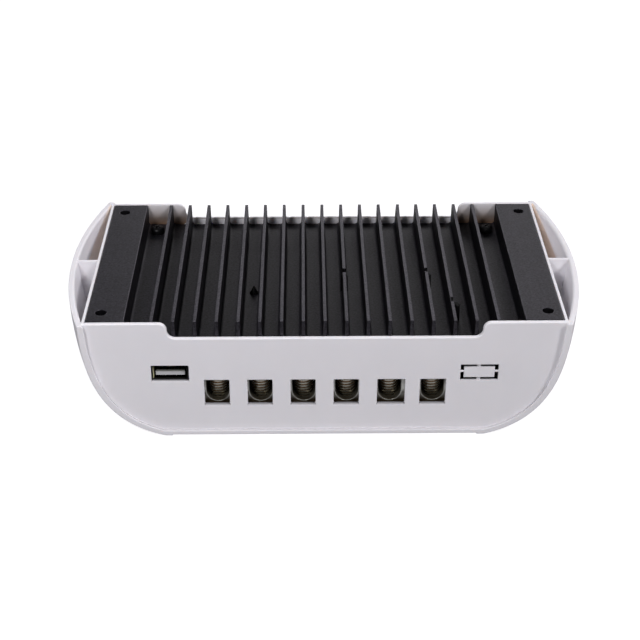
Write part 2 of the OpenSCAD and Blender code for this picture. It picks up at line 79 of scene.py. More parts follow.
def skin_x(z, y, t):
    """Half width of the barrel surface, t millimetres inside the outer one."""
    r = SIDE_R - t - inset(z, CRV_A - t, CRV_B - 0.8 * t) + inset(SHELL_H, CRV_A, CRV_B)
    return math.sqrt(r * r - y * y) - SIDE_AX


# ------------------------------------------------------------------ mesh helpers
def make(name, verts, faces, mats=(), smooth=True):
    me = bpy.data.meshes.new(name)
    me.from_pydata([(x * MM, y * MM, z * MM) for x, y, z in verts], [], faces)
    o = bpy.data.objects.new(name, me)
    bpy.context.scene.collection.objects.link(o)
    bm = bmesh.new(); bm.from_mesh(me)
    bmesh.ops.recalc_face_normals(bm, faces=bm.faces)
    bm.to_mesh(me); bm.free()
    for m in mats:
        me.materials.append(m)
    if smooth:
        me.shade_smooth()
    return o


def loft(rings, caps=(True, True), closed=True):
    n = len(rings[0])
    v = [p for r in rings for p in r]
    f = []
    for k in range(len(rings) - 1):
        a, b = k * n, (k + 1) * n
        for i in range(n if closed else n - 1):
            j = (i + 1) % n
            f.append((a + i, a + j, b + j, b + i))
    if caps[0]:
        f.append(tuple(reversed(range(n))))
    if caps[1]:
        f.append(tuple((len(rings) - 1) * n + i for i in range(n)))
    return v, f


def merge(parts):
    v, f = [], []
    for pv, pf in parts:
        k = len(v)
        v += pv
        f += [tuple(i + k for i in q) for q in pf]
    return v, f


def offset(pts, d):
    """Moves a counter-clockwise outline outward by d (inward if d is negative)."""
    if abs(d) < 1e-9:
        return list(pts)
    n, out = len(pts), []
    for i in range(n):
        p0, p1, p2 = Vector(pts[i - 1]), Vector(pts[i]), Vector(pts[(i + 1) % n])
        e1, e2 = (p1 - p0).normalized(), (p2 - p1).normalized()
        n1, n2 = Vector((e1.y, -e1.x)), Vector((e2.y, -e2.x))
        k = max(1 + n1.dot(n2), 0.3)
        q = p1 + (n1 + n2) * (d / k)
        out.append((q.x, q.y))
    return out


def area(pts):
    return 0.5 * sum(pts[i - 1][0] * pts[i][1] - pts[i][0] * pts[i - 1][1] for i in range(len(pts)))


def ccw(pts):
    return list(pts) if area(pts) > 0 else list(reversed(pts))


def rrect(w, l, r, n=5, cx=0.0, cy=0.0):
    out = []
    for q in range(4):
        sx = 1 if q in (0, 3) else -1
        sy = 1 if q < 2 else -1
        for k in range(n + 1):
            a = math.radians(q * 90 + k * 90 / n)
            out.append((cx + sx * (w / 2 - r) + r * math.cos(a), cy + sy * (l / 2 - r) + r * math.sin(a)))
    return out


def ring(d, n=64, cx=0.0, cy=0.0, a0=0.0):
    return [(cx + d / 2 * math.cos(a0 + 2 * PI * i / n), cy + d / 2 * math.sin(a0 + 2 * PI * i / n)) for i in range(n)]


def xy(u, v, w):
    return (u, v, w)


def xz(u, v, w):
    return (u, w, v)


def yz(u, v, w):
    return (w, u, v)


def prism(outline, w0, w1, place, r0=0.0, r1=0.0, seg=3):
    """Closed prism with its two rims rounded by r0 and r1."""
    pts = ccw(outline)
    prof = []
    if r0 > 0:
        prof += [(-r0 * (1 - math.sin(PI / 2 * k / seg)), w0 + r0 * (1 - math.cos(PI / 2 * k / seg))) for k in range(seg + 1)]
    else:
        prof.append((0, w0))
    if r1 > 0:
        prof += [(-r1 * (1 - math.cos(PI / 2 * k / seg)), w1 - r1 * (1 - math.sin(PI / 2 * k / seg))) for k in range(seg + 1)]
    else:
        prof.append((0, w1))
    rings = []
    for d, w in prof:
        rings.append([place(u, v, w) for u, v in offset(pts, d)])
    return loft(rings)


def cutter(outline, w0, w1, place, r0=0.0, r1=0.0, over=1.0, seg=3):
    """Tool for an opening between the faces w0 and w1 whose rims are rounded; r of None leaves that end blind."""
    pts = ccw(outline)
    prof = []
    if r0 is None:
        prof.append((0, w0))
    elif r0 > 0:
        prof.append((r0, w0 - over))
        prof += [(r0 - r0 * math.cos(PI / 2 * (1 - k / seg)), w0 + r0 - r0 * math.sin(PI / 2 * (1 - k / seg))) for k in range(seg + 1)]
    else:
        prof.append((0, w0 - over))
    if r1 is None:
        prof.append((0, w1))
    elif r1 > 0:
        prof += [(r1 - r1 * math.cos(PI / 2 * k / seg), w1 - r1 + r1 * math.sin(PI / 2 * k / seg)) for k in range(seg + 1)]
        prof.append((r1, w1 + over))
    else:
        prof.append((0, w1 + over))
    return loft([[place(u, v, w) for u, v in offset(pts, d)] for d, w in prof])


def revolve(profile, n=48, cx=0.0, cy=0.0, a0=0.0):
    """Closed solid from an open (r, z) profile that starts and ends on the axis."""
    rings = []
    for r, z in profile:
        rings.append([(cx + r * math.cos(a0 + 2 * PI * i / n), cy + r * math.sin(a0 + 2 * PI * i / n), z) for i in range(n)])
    return loft(rings)


def tool(parts):
    return make("tool", *merge(parts), smooth=False)


def boolean(o, parts, op="DIFFERENCE", tri=False):
    """Applies one boolean with a tool made of separate closed solids; tri keeps every face simple for the next one."""
    t = tool(parts)
    m = o.modifiers.new("b", "BOOLEAN")
    m.operation, m.solver, m.object = op, "MANIFOLD", t
    bpy.context.view_layer.update()
    dg = bpy.context.evaluated_depsgraph_get()
    me = bpy.data.meshes.new_from_object(o.evaluated_get(dg))
    o.modifiers.clear()
    old = o.data
    o.data = me
    bpy.data.meshes.remove(old)
    td = t.data
    bpy.data.objects.remove(t)
    bpy.data.meshes.remove(td)
    if len(me.polygons) == 0:
        raise RuntimeError("a boolean left nothing of " + o.name)
    if tri:
        bm = bmesh.new(); bm.from_mesh(me)
        bmesh.ops.triangulate(bm, faces=bm.faces)
        bm.to_mesh(me); bm.free()
    return o


def polish(o, angle=38.0, dist=2e-6, weighted=True):
    """Cleans a finished mesh, marks its sharp edges and weights its normals by face area."""
    me = o.data
    bm = bmesh.new(); bm.from_mesh(me)
    bmesh.ops.remove_doubles(bm, verts=bm.verts, dist=dist)
    bmesh.ops.dissolve_degenerate(bm, dist=1e-6, edges=bm.edges)
    loose = [v for v in bm.verts if not v.link_faces]
    bmesh.ops.delete(bm, geom=loose, context="VERTS")
    bmesh.ops.recalc_face_normals(bm, faces=bm.faces)
    lim = math.radians(angle)
    for e in bm.edges:
        e.smooth = len(e.link_faces) == 2 and e.calc_face_angle(0.0) < lim
    for f in bm.faces:
        f.smooth = True
    bm.to_mesh(me); bm.free()
    if weighted:
        m = o.modifiers.new("weighted_normals", "WEIGHTED_NORMAL")
        m.keep_sharp = True
        m.weight = 50
    return o


# ------------------------------------------------------------------ material helpers
class Mat:
    def __init__(self, name):
        self.m = bpy.data.materials.new(name)
        self.m.use_nodes = True
        self.t = self.m.node_tree
        self.t.nodes.clear()
        self.out = self.t.nodes.new("ShaderNodeOutputMaterial")
        self.b = self.t.nodes.new("ShaderNodeBsdfPrincipled")
        self.t.links.new(self.b.outputs[0], self.out.inputs["Surface"])
        self.tc = self.t.nodes.new("ShaderNodeTexCoord")

    def set(self, **k):
        names = dict(base="Base Color", rough="Roughness", metal="Metallic", spec="Specular IOR Level", ior="IOR",
                     sss="Subsurface Weight", sss_r="Subsurface Radius", sss_s="Subsurface Scale", trans="Transmission Weight",
                     coat="Coat Weight", coat_r="Coat Roughness", aniso="Anisotropic", alpha="Alpha", sheen="Sheen Weight")
        for a, v in k.items():
            s = self.b.inputs[names[a]]
            if a == "base":
                v = (*v, 1.0) if len(v) == 3 else v
            s.default_value = v
        return self

    def n(self, kind, **props):
        x = self.t.nodes.new(kind)
        for a, v in props.items():
            setattr(x, a, v)
        return x

    def link(self, a, b):
        self.t.links.new(a, b)

    def coords(self, scale=(1, 1, 1), rot=(0, 0, 0)):
        mp = self.n("ShaderNodeMapping")
        mp.inputs["Scale"].default_value = scale
        mp.inputs["Rotation"].default_value = rot
        self.link(self.tc.outputs["Object"], mp.inputs["Vector"])
        return mp.outputs[0]

    def noise(self, scale, detail=4.0, rough=0.55, vec=None, distortion=0.0):
        x = self.n("ShaderNodeTexNoise")
        x.inputs["Scale"].default_value = scale
        x.inputs["Detail"].default_value = detail
        x.inputs["Roughness"].default_value = rough
        x.inputs["Distortion"].default_value = distortion
        self.link(vec if vec is not None else self.tc.outputs["Object"], x.inputs["Vector"])
        return x.outputs["Fac"]

    def ramp(self, fac, stops, interp="LINEAR"):
        x = self.n("ShaderNodeValToRGB")
        x.color_ramp.interpolation = interp
        el = x.color_ramp.elements
        while len(el) < len(stops):
            el.new(0.5)
        for e, (p, c) in zip(el, stops):
            e.position = p
            e.color = (*c, 1.0) if len(c) == 3 else c
        self.link(fac, x.inputs["Fac"])
        return x.outputs["Color"]

    def rng(self, fac, a, b, c, d, clamp=True):
        x = self.n("ShaderNodeMapRange")
        x.clamp = clamp
        for i, v in zip(("From Min", "From Max", "To Min", "To Max"), (a, b, c, d)):
            x.inputs[i].default_value = v
        self.link(fac, x.inputs["Value"])
        return x.outputs[0]

    def math(self, op, a, b=None):
        x = self.n("ShaderNodeMath", operation=op)
        for i, v in enumerate((a, b)):
            if v is None:
                continue
            if isinstance(v, (int, float)):
                x.inputs[i].default_value = v
            else:
                self.link(v, x.inputs[i])
        return x.outputs[0]

    def mix(self, fac, a, b, blend="MIX"):
        x = self.n("ShaderNodeMix", data_type="RGBA", blend_type=blend)
        for s, v in ((x.inputs[0], fac), (x.inputs[6], a), (x.inputs[7], b)):
            if isinstance(v, (int, float)):
                s.default_value = v
            elif isinstance(v, tuple):
                s.default_value = (*v, 1.0) if len(v) == 3 else v
            else:
                self.link(v, s)
        return x.outputs[2]

    def bump(self, height, strength=0.2, dist=0.0001, normal=None):
        x = self.n("ShaderNodeBump")
        x.inputs["Strength"].default_value = strength
        x.inputs["Distance"].default_value = dist
        self.link(height, x.inputs["Height"])
        if normal is not None:
            self.link(normal, x.inputs["Normal"])
        return x.outputs[0]

    def to(self, name, out):
        self.link(out, self.b.inputs[name])
        return self

    def sep(self, vec=None):
        x = self.n("ShaderNodeSeparateXYZ")
        self.link(vec if vec is not None else self.tc.outputs["Object"], x.inputs[0])
        return x.outputs

    def attr(self, name):
        x = self.n("ShaderNodeAttribute", attribute_name=name)
        return x.outputs["Fac"]


def plastic(name, base, rough=0.42, grain=5200.0, strength=0.12, spread=0.03, sss=0.0, spec=0.5):
    m = Mat(name).set(rough=rough, spec=spec)
    if sss:
        m.set(sss=sss, sss_r=(1.0, 0.7, 0.5), sss_s=0.002)
    lo = tuple(max(c * (1 - spread), 0) for c in base)
    hi = tuple(min(c * (1 + spread), 1) for c in base)
    cloud = m.noise(60.0, 3.0)
    m.to("Base Color", m.ramp(cloud, [(0.3, lo), (0.7, hi)]))
    fine = m.noise(grain, 2.0, 0.6)
    m.to("Roughness", m.rng(m.noise(400.0, 3.0), 0.3, 0.7, rough - 0.04, rough + 0.05))
    m.to("Normal", m.bump(fine, strength, 0.00003))
    return m.m


def metal(name, base, rough=0.3, dark=None, lines=None, strength=0.1, grain=2500.0, spread=0.08):
    m = Mat(name).set(metal=1.0, rough=rough)
    dark = dark or tuple(c * (1 - spread) for c in base)
    vec = m.coords(lines) if lines else None
    a = m.noise(900.0 if lines else 500.0, 5.0, 0.6, vec)
    m.to("Base Color", m.ramp(a, [(0.3, dark), (0.65, base)]))
    m.to("Roughness", m.rng(m.noise(700.0, 4.0, 0.6, vec), 0.3, 0.7, rough - 0.06, rough + 0.1))
    m.to("Normal", m.bump(m.noise(grain, 3.0, 0.6, vec), strength, 0.00003))
    return m.m


# white moulded shell: satin, very slightly cool, with the warm glow of thin white plastic
WHITE_LO, WHITE_HI = (0.79, 0.772, 0.800), (0.81, 0.792, 0.820)


def shell_finish(m):
    m.to("Roughness", m.rng(m.noise(400.0, 3.0), 0.3, 0.7, 0.37, 0.45))
    m.to("Normal", m.bump(m.noise(5200.0, 2.0, 0.6), 0.10, 0.00003))
    return m.m


def shell_plastic():
    m = Mat("shell_white_plastic").set(rough=0.40, spec=0.5, sss=0.25, sss_r=(1.0, 0.9, 0.82), sss_s=0.0007)
    base = m.ramp(m.noise(60.0, 3.0), [(0.3, WHITE_LO), (0.7, WHITE_HI)])
    m.to("Base Color", base)
    return shell_finish(m)


def far_wall_painted_shade():
    """Inner side of the far end wall, with painted shade: warmer and darker down to the heatsink's base, standing in
    for the shadow there and for the tinted light through the thin wall.
    """
    m = Mat("shell_plastic_far_wall_painted_shade").set(rough=0.40, spec=0.5, sss=0.25, sss_r=(1.0, 0.9, 0.82), sss_s=0.0007)
    base = m.ramp(m.noise(60.0, 3.0), [(0.3, WHITE_LO), (0.7, WHITE_HI)])
    z = m.sep()[2]
    # painted shade: darker and warmer towards the heatsink's base
    base = m.mix(m.rng(z, 0.0500, 0.0428, 0.0, 0.94), base, (0.20, 0.155, 0.13))
    base = m.mix(m.rng(z, 0.0428, 0.0402, 0.0, 0.92), base, (0.20, 0.12, 0.075))
    m.to("Base Color", base)
    return shell_finish(m)


def pocket_painted_shadow():
    """Inner side of the skin in the rear side pockets, with a painted shadow: a warmer, darker shade below the line
    where the straight wall's shadow falls.
    """
    m = Mat("shell_plastic_rear_pockets_painted_shadow").set(rough=0.40, spec=0.5, sss=0.25, sss_r=(1.0, 0.9, 0.82), sss_s=0.0007)
    base = m.ramp(m.noise(60.0, 3.0), [(0.3, WHITE_LO), (0.7, WHITE_HI)])
    s = m.sep()
    ax = m.math("ABSOLUTE", s[0])
    # painted shadow: positive below the straight wall's shadow line, which falls lower further from the wall
    deep = m.math("SUBTRACT", m.math("SUBTRACT", SHELL_H * MM, s[2]), m.math("MULTIPLY", m.math("SUBTRACT", ax, INNER_OUT * MM), 1.43))
    deep = m.math("ADD", deep, m.rng(s[1], 0.010, 0.042, 0.0, 0.0016))
    side = m.math("MULTIPLY", m.rng(deep, -0.0006, 0.0008, 0.0, 1.0), m.rng(s[2], 0.0500, 0.0492, 0.0, 1.0))
    # painted shadow colour, warmer on the right side than on the left
    warm = m.mix(m.rng(s[0], -0.01, 0.01, 0.0, 1.0), (0.80, 0.69, 0.61), (0.90, 0.73, 0.60))
    m.to("Base Color", m.mix(side, base, warm))
    return shell_finish(m)


def sill_painted_shade(name, depth, stops):
    """The shell's plastic on an upward ledge, with painted shade that greys it with the depth of the opening."""
    m = Mat(name).set(rough=0.45, spec=0.3, sss=0.1, sss_r=(1.0, 0.9, 0.82), sss_s=0.0004)
    t = m.rng(m.sep()[1], -WALL_OUT * MM, (-WALL_OUT + depth) * MM, 0.0, 1.0)
    t = m.math("ADD", t, m.math("MULTIPLY", m.math("SUBTRACT", m.noise(900.0, 2.0), 0.5), 0.04))
    m.to("Base Color", m.ramp(t, [(a, (b, b * 0.98, b * 1.02)) for a, b in stops]))
    return shell_finish(m)


def lip_painted_shade():
    """The lip's inner side along the near end wall, a little less glossy than the skin, with painted shade darkening
    its colour to 0.66.
    """
    m = Mat("shell_plastic_lip_painted_shade").set(rough=0.45, spec=0.35, sss=0.25, sss_r=(1.0, 0.9, 0.82), sss_s=0.0007)
    # painted shade: the white base colour scaled down to 0.66
    base = m.ramp(m.noise(60.0, 3.0), [(0.3, tuple(0.66 * v for v in WHITE_LO)), (0.7, tuple(0.66 * v for v in WHITE_HI))])
    m.to("Base Color", base)
    return shell_finish(m)


SHELL_M = shell_plastic()
LIP_SHADE_M = lip_painted_shade()
# painted shade on the floors of the wire openings and on the port ledges
SILL_SHADE_M = sill_painted_shade("shell_plastic_wire_sills_painted_shade", 2.95, [(0.0, 0.52), (0.085, 0.34), (0.22, 0.25), (0.39, 0.16), (0.66, 0.07), (0.93, 0.02)])
LEDGE_SHADE_M = sill_painted_shade("shell_plastic_port_ledges_painted_shade", 1.35, [(0.0, 0.62), (0.2, 0.42), (0.45, 0.26), (0.7, 0.11), (1.0, 0.03)])
POCKET_SHADOW_M = pocket_painted_shadow()
FARWALL_SHADE_M = far_wall_painted_shade()
# painted shade: the white plastic on the USB opening's sides is made near black
SHADE_M = plastic("shell_plastic_port_sides_painted_shade", (0.022, 0.021, 0.02), rough=0.5, spread=0.2, spec=0.15)


def anodised(name, spec, k):
    """Bead-blasted and anodised; k scales the base colour."""
    m = Mat(name).set(rough=0.46, spec=spec, ior=1.5)
    m.b.inputs["Specular Tint"].default_value = (0.975, 0.93, 1.0, 1.0)
    grain = m.noise(1250.0, 4.0, 0.7)
    cloud = m.noise(45.0, 4.0, 0.6)
    streak = m.noise(700.0, 3.0, 0.6, m.coords((1.0, 0.02, 1.0)))
    base = m.ramp(cloud, [(0.3, (0.0085 * k, 0.0080 * k, 0.0105 * k)), (0.7, (0.0125 * k, 0.0118 * k, 0.0150 * k))])
    speck = m.rng(grain, 0.34, 0.68, 0.10, 2.3)
    x = m.n("ShaderNodeVectorMath", operation="SCALE")
    m.link(base, x.inputs[0]); m.link(speck, x.inputs["Scale"])
    m.link(x.outputs[0], m.b.inputs["Base Color"])
    m.to("Specular IOR Level", m.rng(grain, 0.34, 0.68, spec * 0.72, spec * 1.28))
    m.to("Roughness", m.math("ADD", m.rng(streak, 0.3, 0.7, 0.45, 0.48), m.rng(grain, 0.3, 0.7, -0.03, 0.08)))
    h = m.math("ADD", m.math("MULTIPLY", grain, 1.0), m.math("MULTIPLY", streak, 0.06))
    m.to("Normal", m.bump(h, 0.6, 0.00005))
    return m.m


HEAT_M = anodised("heatsink_black_anodised", 0.42, 1.0)
# painted shade: a darker, less glossy copy of the anodising for the fins' flanks
FLANK_SHADE_M = anodised("heatsink_flank_painted_shade", 0.12, 0.35)
# painted highlight: a lighter, glossier copy of the anodising for the fin tops
CREST_HIGHLIGHT_M = anodised("heatsink_fin_top_painted_highlight", 0.72, 2.0)
# painted shade: the bores of the mounting holes and the cuts in the fins are made near black
BORE_SHADE_M = plastic("heatsink_bore_painted_shade", (0.0035, 0.0033, 0.004), rough=0.6, grain=2500.0, strength=0.2, spread=0.2, spec=0.06)


def nickel():
    m = Mat("nickel_plated_brass").set(metal=0.7, rough=0.34)
    vec = m.coords((0.1, 1.0, 1.0))
    unshaded = m.ramp(m.noise(900.0, 5.0, 0.6, vec), [(0.3, (0.78, 0.785, 0.74)), (0.65, (0.90, 0.905, 0.86))])
    s = m.sep()
    shade_mid = m.ramp(m.noise(600.0, 4.0), [(0.3, (0.20, 0.19, 0.17)), (0.7, (0.27, 0.26, 0.235))])
    shade_low = m.ramp(m.noise(600.0, 4.0), [(0.3, (0.05, 0.036, 0.02)), (0.7, (0.085, 0.062, 0.038))])
    # painted shade: the block's face turns darker and browner towards the bottom
    base = m.mix(m.rng(s[2], 0.0184, 0.0168, 0.0, 1.0), unshaded, shade_mid)
    base = m.mix(m.rng(s[2], 0.0158, 0.0134, 0.0, 1.0), base, shade_low)
    # painted shade: the block is dark behind its front face
    inside = m.rng(s[1], -0.0466, -0.0450, 0.0, 1.0)
    m.to("Base Color", m.mix(inside, base, (0.09, 0.082, 0.06)))
    m.to("Roughness", m.rng(m.noise(700.0, 4.0, 0.6, vec), 0.3, 0.7, 0.30, 0.42))
    m.to("Normal", m.bump(m.noise(2500.0, 3.0, 0.6, vec), 0.12, 0.00003))
    return m.m


NICKEL_M = nickel()


def chamfer_painted_shade():
    # painted shade: a darker copy of the nickel for the channel's chamfer, darker still towards the bottom
    m = Mat("nickel_chamfer_painted_shade").set(metal=0.5, rough=0.36)
    top = m.ramp(m.noise(900.0, 4.0), [(0.3, (0.50, 0.505, 0.47)), (0.7, (0.62, 0.625, 0.59))])
    m.to("Base Color", m.mix(m.rng(m.sep()[2], 0.0172, 0.0138, 0.0, 1.0), top, (0.15, 0.148, 0.13)))
    m.to("Roughness", m.rng(m.noise(700.0, 4.0), 0.3, 0.7, 0.32, 0.44))
    m.to("Normal", m.bump(m.noise(2500.0, 3.0), 0.12, 0.00003))
    return m.m


CHAMFER_SHADE_M = chamfer_painted_shade()


def thread_metal():
    m = Mat("yellow_zinc_steel").set(metal=0.85, rough=0.3)
    g = m.attr("groove")
    grime = m.noise(900.0, 4.0, 0.65)
    crest = m.ramp(grime, [(0.3, (0.70, 0.68, 0.58)), (0.7, (0.90, 0.88, 0.78))])
    # painted shade: the thread's roots are darker than its crests, and browner
    root = m.ramp(grime, [(0.3, (0.34, 0.17, 0.06)), (0.7, (0.62, 0.34, 0.14))])
    s = m.sep()
    # painted shade: the screw darkens towards its lower end
    low = m.rng(s[2], 0.0195, 0.0150, 0.0, 0.85)
    m.to("Base Color", m.mix(low, m.mix(g, crest, root), (0.05, 0.042, 0.018)))
    m.to("Roughness", m.rng(g, 0.0, 1.0, 0.26, 0.5))
    m.to("Normal", m.bump(m.noise(2500.0, 3.0), 0.1, 0.00003))
    return m.m


THREAD_M = thread_metal()
# painted shade: a blacker, less glossy copy of the black steel for the screw ends above the heatsink's base
TIP_SHADE_M = plastic("black_oxide_tip_painted_shade", (0.0022, 0.0022, 0.0024), rough=0.55, grain=2500.0, strength=0.1, spread=0.2, spec=0.10)
BLACKSTEEL_M = plastic("black_oxide_steel", (0.004, 0.004, 0.0045), rough=0.36, grain=2500.0, strength=0.08, spread=0.2, spec=0.35)


def tinned_steel():
    m = Mat("tinned_steel").set(metal=1.0, rough=0.3)
    vec = m.coords((1.0, 0.15, 1.0))
    unshaded = m.ramp(m.noise(900.0, 5.0, 0.6, vec), [(0.3, (0.46, 0.46, 0.43)), (0.65, (0.60, 0.60, 0.56))])
    s = m.sep()
    # painted shade: the steel is dark inside the socket's mouth
    cx = m.math("ABSOLUTE", m.math("ADD", s[0], 0.0579))
    cz_ = m.math("ABSOLUTE", m.math("SUBTRACT", s[2], 0.02735))
    inside = m.math("MULTIPLY", m.rng(cx, 0.00640, 0.00622, 0.0, 1.0), m.rng(cz_, 0.00288, 0.00272, 0.0, 1.0))
    m.to("Base Color", m.mix(inside, unshaded, (0.035, 0.032, 0.022)))
    m.to("Roughness", m.rng(m.noise(700.0, 4.0, 0.6, vec), 0.3, 0.7, 0.24, 0.38))
    m.to("Normal", m.bump(m.noise(2500.0, 3.0, 0.6, vec), 0.08, 0.00003))
    return m.m


STEEL_M = tinned_steel()


def socket_edge():
    """Cut edge of the socket's shell: painted shade makes it near black, and a painted yellowish highlight lightens it
    on the left side.
    """
    m = Mat("socket_cut_edge_painted_shade_and_highlight").set(metal=0.3, rough=0.5, spec=0.4)
    s = m.sep()
    # painted highlight on the left side; the rest of the edge is painted shade
    left = m.math("MULTIPLY", m.rng(s[0], -0.06402, -0.06408, 0.0, 1.0), m.math("MULTIPLY", m.rng(s[2], 0.0300, 0.0293, 0.0, 1.0), m.rng(s[2], 0.0246, 0.0250, 0.0, 1.0)))
    film = m.ramp(m.noise(700.0, 3.0), [(0.3, (0.62, 0.58, 0.36)), (0.7, (0.74, 0.70, 0.46))])
    m.to("Base Color", m.mix(left, (0.016, 0.016, 0.014), film))
    m.to("Roughness", m.rng(m.noise(700.0, 4.0), 0.3, 0.7, 0.45, 0.6))
    m.to("Normal", m.bump(m.noise(2500.0, 3.0), 0.08, 0.00003))
    return m.m


STEELEDGE_M = socket_edge()


def socket_side():
    """Inner left side of the socket's shell: a painted yellowish highlight near the mouth, painted shade turning it
    black further in.
    """
    m = Mat("socket_side_painted_highlight_and_shade").set(metal=0.2, rough=0.5, spec=0.4)
    film = m.ramp(m.noise(700.0, 3.0), [(0.3, (0.50, 0.47, 0.24)), (0.7, (0.62, 0.58, 0.32))])
    m.to("Base Color", m.mix(m.rng(m.sep()[1], -0.0452, -0.0440, 0.0, 1.0), film, (0.012, 0.012, 0.010)))
    m.to("Roughness", m.rng(m.noise(700.0, 4.0), 0.3, 0.7, 0.45, 0.6))
    m.to("Normal", m.bump(m.noise(2500.0, 3.0), 0.08, 0.00003))
    return m.m


SOCKSIDE_M = socket_side()
ZINC_M = metal("zinc_plated_steel", (0.66, 0.67, 0.68), 0.3, strength=0.1)
BRASS_M = metal("turned_brass", (0.80, 0.62, 0.30), 0.25, dark=(0.62, 0.45, 0.2), lines=(0.2, 0.2, 1.0), strength=0.1)
# painted shade: the contacts' gold plate is darkened for the shade inside the socket
GOLD_SHADE_M = metal("gold_plate_painted_shade", (0.10, 0.075, 0.035), 0.3, dark=(0.06, 0.045, 0.02), strength=0.06)
COPPER_M = metal("copper_alloy", (0.62, 0.33, 0.2), 0.3, dark=(0.42, 0.22, 0.14), lines=(0.1, 1.0, 1.0), strength=0.12)


def tongue_plastic():
    m = Mat("usb_tongue_plastic").set(rough=0.45, spec=0.4)
    s = m.sep()
    white = m.ramp(m.noise(300.0, 3.0), [(0.3, (0.46, 0.46, 0.465)), (0.7, (0.50, 0.50, 0.505))])
    # painted shade: the tongue darkens towards its top and turns black further back in the socket
    up = m.rng(s[2], 0.02695, 0.0275, 0.0, 1.0)
    back = m.rng(s[1], -0.0482, -0.0470, 0.0, 1.0)
    base = m.mix(up, white, (0.060, 0.062, 0.050))
    m.to("Base Color", m.mix(back, base, (0.02, 0.02, 0.017)))
    m.to("Roughness", m.rng(m.noise(400.0, 3.0), 0.3, 0.7, 0.42, 0.5))
    m.to("Normal", m.bump(m.noise(5200.0, 2.0), 0.06, 0.00003))
    return m.m


TONGUE_M = tongue_plastic()
BLACKPL_M = plastic("black_moulded_plastic", (0.014, 0.014, 0.015), rough=0.4, strength=0.2, spread=0.15)
KEY_M = plastic("key_cap_plastic", (0.10, 0.11, 0.13), rough=0.46, strength=0.18, spread=0.06)
PAD_M = plastic("silicone_pad", (0.40, 0.43, 0.46), rough=0.6, strength=0.25, spread=0.06)
FERRITE_M = plastic("ferrite", (0.045, 0.045, 0.048), rough=0.55, grain=1500.0, strength=0.3, spread=0.2)
GUIDE_M = plastic("light_guide_acrylic", (0.82, 0.84, 0.80), rough=0.2, strength=0.03, spread=0.02, sss=0.2)


def overlay_film():
    m = Mat("overlay_film").set(rough=0.38, spec=0.5)
    mott = m.noise(2200.0, 2.0, 0.6)
    s = m.sep()
    g = m.rng(s[1], -0.034, 0.051, 0.0, 1.0)
    base = m.mix(g, (0.030, 0.042, 0.060), (0.018, 0.026, 0.040))
    m.to("Base Color", m.mix(m.rng(mott, 0.4, 0.6, 0.0, 0.12), base, (0.06, 0.075, 0.1)))
    m.to("Normal", m.bump(mott, 0.22, 0.00004))
    return m.m


OVERLAY_M = overlay_film()
MARK_M = plastic("print_light_grey", (0.62, 0.65, 0.68), rough=0.5, strength=0.05, spread=0.02)
RIM_M = plastic("print_mid_grey", (0.16, 0.18, 0.21), rough=0.42, strength=0.1, spread=0.03)


def window_glass():
    m = Mat("window_clear").set(base=(0.92, 0.96, 0.97), rough=0.06, ior=1.49, trans=1.0)
    m.to("Roughness", m.rng(m.noise(300.0, 3.0), 0.3, 0.7, 0.04, 0.08))
    return m.m


def lcd_face():
    m = Mat("lcd_polariser").set(rough=0.14, spec=0.5, coat=0.3, coat_r=0.05)
    s = m.sep()
    u = m.rng(s[1], -0.007, 0.039, 0.0, 1.0)
    base = m.mix(u, (0.26, 0.31, 0.24), (0.33, 0.38, 0.30))
    fine = m.noise(3500.0, 2.0)
    m.to("Base Color", m.mix(m.rng(fine, 0.35, 0.65, 0.0, 0.1), base, (0.38, 0.42, 0.34)))
    m.to("Roughness", m.rng(m.noise(900.0, 2.0), 0.3, 0.7, 0.12, 0.18))
    return m.m


WINDOW_M = window_glass()
LCD_M = lcd_face()
SEG_M = plastic("lcd_segment", (0.17, 0.21, 0.16), rough=0.2, strength=0.02, spread=0.02)


def board():
    m = Mat("circuit_board_green").set(rough=0.32, spec=0.5, coat=0.3, coat_r=0.15)
    vor = m.n("ShaderNodeTexVoronoi", feature="DISTANCE_TO_EDGE", distance="MANHATTAN")
    vor.inputs["Scale"].default_value = 170.0
    m.link(m.tc.outputs["Object"], vor.inputs["Vector"])
    tracks = m.rng(vor.outputs["Distance"], 0.03, 0.05, 1.0, 0.0)
    vias = m.n("ShaderNodeTexVoronoi", feature="F1")
    vias.inputs["Scale"].default_value = 260.0
    m.link(m.tc.outputs["Object"], vias.inputs["Vector"])
    dots = m.rng(vias.outputs["Distance"], 0.10, 0.13, 1.0, 0.0)
    base = m.mix(tracks, (0.010, 0.085, 0.030), (0.020, 0.15, 0.055))
    m.to("Base Color", m.mix(dots, base, (0.45, 0.43, 0.38)))
    m.to("Metallic", m.math("MULTIPLY", dots, 0.8))
    m.to("Normal", m.bump(m.math("ADD", tracks, dots), 0.3, 0.00004))
    return m.m


BOARD_M = board()


def sleeve():
    m = Mat("capacitor_sleeve").set(rough=0.3, spec=0.5, coat=0.2)
    s = m.sep()
    m.to("Base Color", m.ramp(m.noise(120.0, 3.0), [(0.3, (0.012, 0.02, 0.055)), (0.7, (0.018, 0.03, 0.075))]))
    m.to("Normal", m.bump(m.noise(900.0, 3.0), 0.1, 0.00005))
    return m.m


SLEEVE_M = sleeve()

# ------------------------------------------------------------------ shell
R_END = 0.30      # rounding of the lip's edges
R_RIM = 0.30      # rounding of the rim's outer long edge
R_IN = 1.00       # rounding of the rim's inner long edge
ROUND = 0.24      # rounding of openings and wall edges
R_WALL = 0.45     # rounding of the end walls' outer edges


